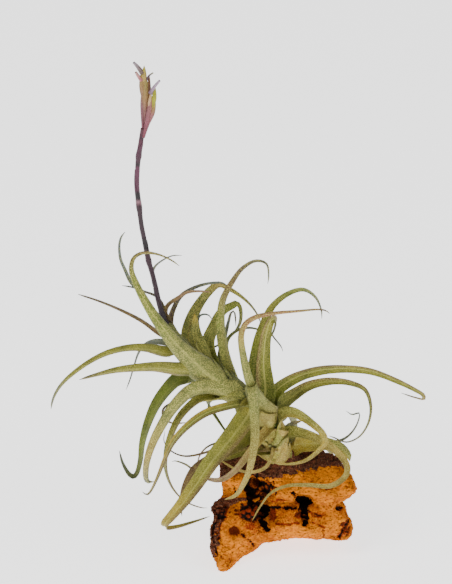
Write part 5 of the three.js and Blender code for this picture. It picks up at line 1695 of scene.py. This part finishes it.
def pit_and_crack(cork, sizes):
    """Scatters pits and cracks over the sides and the back, with painted shade inside them."""
    random = np.random.default_rng(11)
    points = cork.points
    elsewhere = 1 - FRONT_SPARED * cork.front
    for _ in range(sizes.pit_count):
        middle = points[random.integers(len(points))]
        reach = random.uniform(*PIT_REACHES)
        away = np.linalg.norm((points - middle) / (reach * np.array(PIT_SHAPE)), axis=1)
        cut = hump(away, 1) * elsewhere
        cork.push -= cut * reach * PIT_DEPTH
        cork.darken(smooth(cut, *CUT_DARKENS) * PIT_DARKNESS)
    for _ in range(sizes.crack_count):
        start = points[random.integers(len(points))]
        end = start + random.normal(size=3) * np.array(CRACK_SPANS)
        away = distance_to_span(points, start, end) + cork.ragged * CRACK_RAGGEDNESS
        cut = hump(np.maximum(away, 0), CRACK_WIDTH) * elsewhere
        cork.push -= cut * CRACK_DEPTH
        cork.darken(smooth(cut, *CUT_DARKENS) * CRACK_DARKNESS)


def roughen(cork, coarse, sizes):
    """Makes the whole surface uneven and creased, with painted shade and rust-brown in the creases away from
    the lit patches.
    """
    creases = 1 - np.abs(fractal(cork.points, 0.22, 2)) * 1.6
    fine_creases = 1 - np.abs(fractal(cork.points - 30, 0.6, 2)) * 1.8
    creased = 0.7 * smooth(creases, 0.72, 1.0) + 0.35 * smooth(fine_creases, 0.7, 1.0)
    cork.push += sizes.cork_roughness * (0.55 * coarse + 0.3 * fractal(cork.points, 0.7, 3))
    cork.push -= sizes.cork_roughness * creased
    # Painted shade and rust-brown in the creases, left off the lit patches.
    dull = 1 - cork.bright
    cork.darken(CREASE_DARKNESS * smooth(creases, 0.9, 1.0) * smooth(coarse, 0.0, 0.4) * dull)
    cork.redden(CREASE_DARKNESS * smooth(creases, 0.8, 1.0) * dull)


def bark_share(cork, coarse):
    """How far bark covers each point: on top, behind, at the left end and on the lump."""
    x, y, z = cork.points.T
    ragged = cork.ragged
    above_edge = smooth(
        table_at(BARK_EDGE, cork.column) + ragged * BARK_RAGGEDNESS - cork.row, *BARK_EDGE_SOFTNESS)
    on_front = np.where(cork.facing > 0, above_edge * smooth(z, 30, 38) * cork.front, 0)
    behind_edge = np.maximum(above_edge, smooth(y, -14, -8))
    on_top = smooth(cork.outward[:, 2], 0.25, 0.6) * smooth(z, 36, 42) * behind_edge
    on_back = smooth(y, 2, 6) * smooth(z + coarse * 9, 12, 22)
    on_left = smooth(-x + ragged * 2, 33, 36) * smooth(z, 12, 24) * smooth(y, -33, -24)
    beside_lump = table_at(LUMP_EDGE, cork.row) + ragged * LUMP_RAGGEDNESS - cork.column
    on_lump = smooth(beside_lump, -1, 3) * smooth(cork.row, 496, 499) * cork.shown
    return np.max([on_front, on_top, on_back, on_left, on_lump], axis=0)


def build_cork(sizes, material):
    """The cork block with its bark, cracks, pits and hollows."""
    cube, faces = cube_grid(BLOCK_DIVISIONS)
    cork = CorkSurface(block_form(cube) + np.array([0, STEM_PLANE, 0]), faces)
    cut_strokes(cork)
    sink_patches(cork)
    crumble_spots(cork)
    pit_and_crack(cork, sizes)
    coarse = fractal(cork.points, 0.16, 4)
    roughen(cork, coarse, sizes)
    bark = bark_share(cork, coarse)
    scales = np.array([noise.noise(Vector(point)) for point in (cork.points * BARK_GRAIN).tolist()])
    cork.push += bark * sizes.bark_relief * np.abs(scales) * BARK_HEIGHT

    stem_foot = STEM_LINE[None, :COLLAR_STEM_POINTS, :]
    gaps = np.linalg.norm(cork.points[:, None, :] - stem_foot, axis=2).min(axis=1)
    collar = hump(gaps - STEM_RADIUS, COLLAR_REACH) * smooth(cork.points[:, 2], *COLLAR_HEIGHTS)
    raised = np.array([0, 0, COLLAR_RISE]) * collar[:, None]
    points = cork.points + cork.outward * cork.push[:, None] + raised
    points[:, 2] = np.maximum(points[:, 2], 0)
    # Marks of the block: bark, painted shade, and rust-brown that is partly painted shade.
    marks = np.stack([bark, cork.hollow_shade, np.clip(cork.rust_and_shade, 0, 1)], axis=-1)
    add_piece(
        "cork_bark", points, faces, material, ["cork_block"], "cork", marks=marks, bright=cork.bright)


# Sizes and colours that a user would change

def swatch(name, description, default):
    """A colour of the panel."""
    return FloatVectorProperty(
        name=name, description=description, subtype="COLOR", size=3, min=0, max=1, default=paint(default))


def slider(name, description, default, low, high, **kind):
    """A number of the panel."""
    return FloatProperty(name=name, description=description, default=default, min=low, max=high, **kind)


def counter(name, description, default, high):
    """A number of like things of the panel."""
    return IntProperty(name=name, description=description, default=default, min=0, max=high)


class LeafSettings(bpy.types.PropertyGroup):
    """Sizes and colours of the leaves and the stem."""
    leaf_thickness: slider(
        "Leaf thickness", "Thickness at the middle of a leaf's base, in millimetres", 1.0, 0.4, 1.4)
    leaf_edge: slider("Edge thickness", "Thickness of a leaf's edges, in millimetres", 0.16, 0.08, 0.6)
    twist: slider(
        "Twist", "How far a dry leaf may twist along its length", math.radians(16), 0, math.radians(60),
        subtype="ANGLE")
    sheath_count: counter("Old sheaths", "Number of dry sheaths that clasp the stem", 60, 120)
    scurf_grain: slider("Scurf grain", "Size of the pale scurf's flecks, in millimetres", 0.5, 0.2, 2)
    scurf_strength: slider(
        "Scurf", "How strongly the pale scurf covers the leaves", 0.8, 0, 1, subtype="FACTOR")
    rib_height: slider("Rib height", "Height of the fine ribs, in millimetres", 0.22, 0, 1)
    scurf_colour: swatch("Scurf colour", "Colour of the pale scurf", "#D0C888")
    crease_colour: swatch("Crease colour", "Colour of a leaf's pale middle line", "#BFBB80")
    stripe_colour: swatch("Stripe colour", "Colour of a leaf's dark middle stripe", "#7A4A38")


for paint_name, (paint_text, painted) in LEAF_PAINTS.items():
    LeafSettings.__annotations__[paint_name] = swatch(
        paint_name.capitalize(), "Colour of the " + painted, paint_text)


class FlowerSettings(bpy.types.PropertyGroup):
    """Sizes of the scape, its spikes and its flowers."""
    scape_thickness: slider(
        "Scape thickness", "Thickness of the scape as a share of its full size", 1.0, 0.7, 1.2,
        subtype="FACTOR")
    skin_relief: slider("Skin relief", "Height of the fine lengthwise grain, in millimetres", 0.12, 0, 0.5)


class CorkSettings(bpy.types.PropertyGroup):
    """Relief and colours of the cork block."""
    cork_roughness: slider("Roughness", "Height of the cork's uneven surface, in millimetres", 0.9, 0, 2)
    bark_relief: slider("Bark relief", "Height of the bark's scales, in millimetres", 0.9, 0, 2)
    grain_height: slider("Grain height", "Height of the fine grain, in millimetres", 0.7, 0, 2)
    pit_count: counter("Pits", "Number of pits on the sides and back", 130, 400)
    crack_count: counter("Cracks", "Number of cracks on the sides and back", 70, 300)
    cork_colour: swatch("Cork", "Colour of the open cork", "#BE7A0E")
    # Colour of the fresher cork, also used as painted light on the lit faces.
    fresh_and_lit_cork: swatch("Fresh cork", "Colour of the freshest cork", "#E2940E")
    cork_dark: swatch("Brown cork", "Colour of the cork's darker grain", "#9E5C14")
    # Rust-brown of the reddish patches, also used as painted shade in creases and hollows.
    rust_and_shade_colour: swatch("Rusty cork", "Colour of the reddish patches", "#7A3410")
    # Brown of the pores, also the lighter painted shade in cracks and hollows.
    pore_and_shade_colour: swatch("Pores", "Colour of pores and fine cracks", "#52260C")
    # Near black of the painted shade in the deepest hollows.
    hollow_shade_colour: swatch("Hollows", "Colour of the deepest hollows", "#120805")
    bark_colour: swatch("Bark", "Colour of the bark", "#74483A")
    bark_dark: swatch("Dark bark", "Colour of the bark's darker grain", "#331C15")
    bark_pale: swatch("Bark flakes", "Colour of the bark's pale flakes", "#B08C70")


class StageSettings(bpy.types.PropertyGroup):
    """Strength and colour of the floor and the lights."""
    floor_colour: swatch("Floor", "Colour of the floor", "#F2F2F2")
    floor_glow: slider("Floor glow", "How far the floor shines, as paper lit from below", 1.9, 0, 8)
    sky_strength: slider("Sky", "Strength of the even light from all round", 0.35, 0, 10)
    key_power: slider(
        "Key light", "Power of the large soft light from the left", 17, 0, 500,
        subtype="POWER", unit="POWER")
    fill_power: slider(
        "Fill light", "Power of the weaker light from the right", 9, 0, 500,
        subtype="POWER", unit="POWER")


SETTINGS = {
    "air_plant_leaves": LeafSettings,
    "air_plant_flowers": FlowerSettings,
    "air_plant_cork": CorkSettings,
    "air_plant_stage": StageSettings,
}


def leaf_setup(context):
    """The leaves' settings, material and colours, with the material made once."""
    sizes = context.scene.air_plant_leaves
    material = bpy.data.materials.get("leaf_skin") or leaf_material(sizes)
    return sizes, material, {name: tuple(getattr(sizes, name)) for name in LEAF_PAINTS}


# Operators, one for each piece or group of like pieces

class AIRPLANT_OT_cork(bpy.types.Operator):
    """Build the cork block with its bark, cracks and hollows"""
    bl_idname = "airplant.cork"
    bl_label = "Cork block"

    def execute(self, context):
        sizes = context.scene.air_plant_cork
        build_cork(sizes, cork_material(sizes))
        return {"FINISHED"}


class AIRPLANT_OT_stem(bpy.types.Operator):
    """Build the stem"""
    bl_idname = "airplant.stem"
    bl_label = "Stem"

    def execute(self, context):
        _, material, paints = leaf_setup(context)
        build_stem(material, paints)
        return {"FINISHED"}


class AIRPLANT_OT_old_sheaths(bpy.types.Operator):
    """Build the dry sheaths that clasp the stem"""
    bl_idname = "airplant.old_sheaths"
    bl_label = "Old sheaths"

    def execute(self, context):
        build_old_sheaths(*leaf_setup(context))
        return {"FINISHED"}


class AIRPLANT_OT_leaves(bpy.types.Operator):
    """Build the channelled leaves, each with its sheath"""
    bl_idname = "airplant.leaves"
    bl_label = "Leaves"

    def execute(self, context):
        sizes, material, paints = leaf_setup(context)
        for number, row in enumerate(LEAVES):
            build_leaf(row, number, sizes, material, paints)
        return {"FINISHED"}


class AIRPLANT_OT_scape(bpy.types.Operator):
    """Build the dark flower stalk with its joints and clasping bracts"""
    bl_idname = "airplant.scape"
    bl_label = "Flower stalk"

    def execute(self, context):
        sizes = context.scene.air_plant_flowers
        material = stalk_material("scape_skin", 0.55, 1.0, sizes.skin_relief)
        build_scape(sizes, material)
        build_scape_sheaths(sizes, material)
        return {"FINISHED"}


class AIRPLANT_OT_spikes(bpy.types.Operator):
    """Build the overlapping bracts of the two flower spikes"""
    bl_idname = "airplant.spikes"
    bl_label = "Flower spikes"

    def execute(self, context):
        sizes = context.scene.air_plant_flowers
        material = stalk_material("bract_skin", 0.55, 1.3, sizes.skin_relief)
        build_spike("tall_bracts", TALL_SPIKE_BRACTS, "spike_tall", "bract_tan", material)
        build_spike("short_bracts", SHORT_SPIKE_BRACTS, "spike_short", "bract_pink", material)
        return {"FINISHED"}


class AIRPLANT_OT_petals(bpy.types.Operator):
    """Build the small rolled petals"""
    bl_idname = "airplant.petals"
    bl_label = "Petals"

    def execute(self, context):
        sizes = context.scene.air_plant_flowers
        material = stalk_material("petal_skin", 0.5, 1.6, sizes.skin_relief * 0.7)
        for name, readings, radius in PETALS:
            build_petal(name, readings, radius, material)
        return {"FINISHED"}


FLOOR_REACH = 14.0
FLOOR_SEGMENTS = 8
FLOOR_DROP = 0.0002
FLOOR_ROUGHNESS = 0.9
FLOOR_CLOUD_SCALE = 2.0
FLOOR_CLOUD_SHADE = 0.985
SENSOR_WIDTH = 36.0
CLIP_DISTANCES = (0.05, 50)

# Lights: name, size and place in metres, and the setting that holds its power
LIGHTS = [
    ["key_light", 0.9, (-0.9, -1.0, 1.5), "key_power"],
    ["fill_light", 1.2, (1.2, -0.8, 0.9), "fill_power"],
]


def floor_material(sizes):
    """Pale paper that shines a little and is faintly clouded."""
    material, tree, shader = new_material("floor_paper")
    where = add_node(tree, "TexCoord").outputs["Object"]
    cloud = speckle(tree, where, FLOOR_CLOUD_SCALE, detail=3.0)
    darker = [value * FLOOR_CLOUD_SHADE for value in sizes.floor_colour]
    colour = mixed(tree, cloud, sizes.floor_colour, darker)
    feed_all(
        tree, shader, Base_Color=colour, Roughness=FLOOR_ROUGHNESS, Emission_Color=(1, 1, 1, 1),
        Emission_Strength=sizes.floor_glow)
    return material


def lay_floor(sizes):
    """A wide level floor, a hair below the block's foot."""
    steps = np.linspace(-FLOOR_REACH / 2, FLOOR_REACH / 2, FLOOR_SEGMENTS + 1)
    row = FLOOR_SEGMENTS + 1
    faces = [
        (a * row + b, a * row + b + 1, (a + 1) * row + b + 1, (a + 1) * row + b)
        for a in range(FLOOR_SEGMENTS) for b in range(FLOOR_SEGMENTS)
    ]
    mesh = bpy.data.meshes.new("floor")
    mesh.from_pydata([(x, y, -FLOOR_DROP) for y in steps for x in steps], [], faces)
    mesh.materials.append(floor_material(sizes))
    floor = bpy.data.objects.new("floor", mesh)
    bpy.context.scene.collection.objects.link(floor)


def light_sky(sizes):
    """Even white light from all round."""
    world = bpy.data.worlds.new("soft_sky")
    world.use_nodes = True
    background = world.node_tree.nodes["Background"]
    feed_all(world.node_tree, background, Color=(1, 1, 1, 1), Strength=sizes.sky_strength)
    bpy.context.scene.world = world


def add_light(name, size, place_at, power):
    """A large soft area light that shines on the plant."""
    data = bpy.data.lights.new(name, "AREA")
    data.shape = "DISK"
    data.size = size
    data.energy = power
    light = bpy.data.objects.new(name, data)
    light.location = place_at
    way = Vector(AIM * MILLIMETRE) - Vector(place_at)
    light.rotation_euler = way.to_track_quat("-Z", "Y").to_euler()
    bpy.context.scene.collection.objects.link(light)


def set_camera():
    """The camera, where the photograph was taken from."""
    data = bpy.data.cameras.new("camera")
    data.sensor_width = SENSOR_WIDTH
    data.lens = SENSOR_WIDTH * VIEW_DISTANCE / (PICTURE_HEIGHT * MM_PER_PIXEL)
    data.clip_start, data.clip_end = CLIP_DISTANCES
    camera = bpy.data.objects.new("camera", data)
    camera.location = Vector((AIM + TO_VIEWER * VIEW_DISTANCE) * MILLIMETRE)
    camera.rotation_euler = (math.pi / 2 - VIEW_TILT, 0, 0)
    bpy.context.scene.collection.objects.link(camera)
    bpy.context.scene.camera = camera


class AIRPLANT_OT_stage(bpy.types.Operator):
    """Build the pale floor, the soft lights and the camera"""
    bl_idname = "airplant.stage"
    bl_label = "Floor, lights and camera"

    def execute(self, context):
        sizes = context.scene.air_plant_stage
        lay_floor(sizes)
        light_sky(sizes)
        for name, size, place_at, power in LIGHTS:
            add_light(name, size, place_at, getattr(sizes, power))
        set_camera()
        return {"FINISHED"}


OPERATORS = [
    AIRPLANT_OT_cork, AIRPLANT_OT_stem, AIRPLANT_OT_old_sheaths, AIRPLANT_OT_leaves, AIRPLANT_OT_scape,
    AIRPLANT_OT_spikes, AIRPLANT_OT_petals, AIRPLANT_OT_stage,
]


class AIRPLANT_PT_panel(bpy.types.Panel):
    """The plant's pieces and their settings"""
    bl_idname = "AIRPLANT_PT_panel"
    bl_label = "Air plant on cork bark"
    bl_space_type = "VIEW_3D"
    bl_region_type = "UI"
    bl_category = "Air plant"

    def draw(self, context):
        for operator in OPERATORS:
            self.layout.operator(operator.bl_idname)
        for setting_name, group in SETTINGS.items():
            box = self.layout.box()
            box.label(text=group.__doc__)
            for key in group.__annotations__:
                box.prop(getattr(context.scene, setting_name), key)


def register():
    for group in SETTINGS.values():
        bpy.utils.register_class(group)
    for setting_name, group in SETTINGS.items():
        setattr(bpy.types.Scene, setting_name, PointerProperty(type=group))
    for operator in OPERATORS:
        bpy.utils.register_class(operator)
    bpy.utils.register_class(AIRPLANT_PT_panel)


def unregister():
    bpy.utils.unregister_class(AIRPLANT_PT_panel)
    for operator in reversed(OPERATORS):
        bpy.utils.unregister_class(operator)
    for setting_name, group in SETTINGS.items():
        delattr(bpy.types.Scene, setting_name)
        bpy.utils.unregister_class(group)


def main():
    """Builds every piece in order."""
    register()
    for operator in OPERATORS:
        group, name = operator.bl_idname.split(".")
        getattr(getattr(bpy.ops, group), name)()


if __name__ == "__main__":
    main()
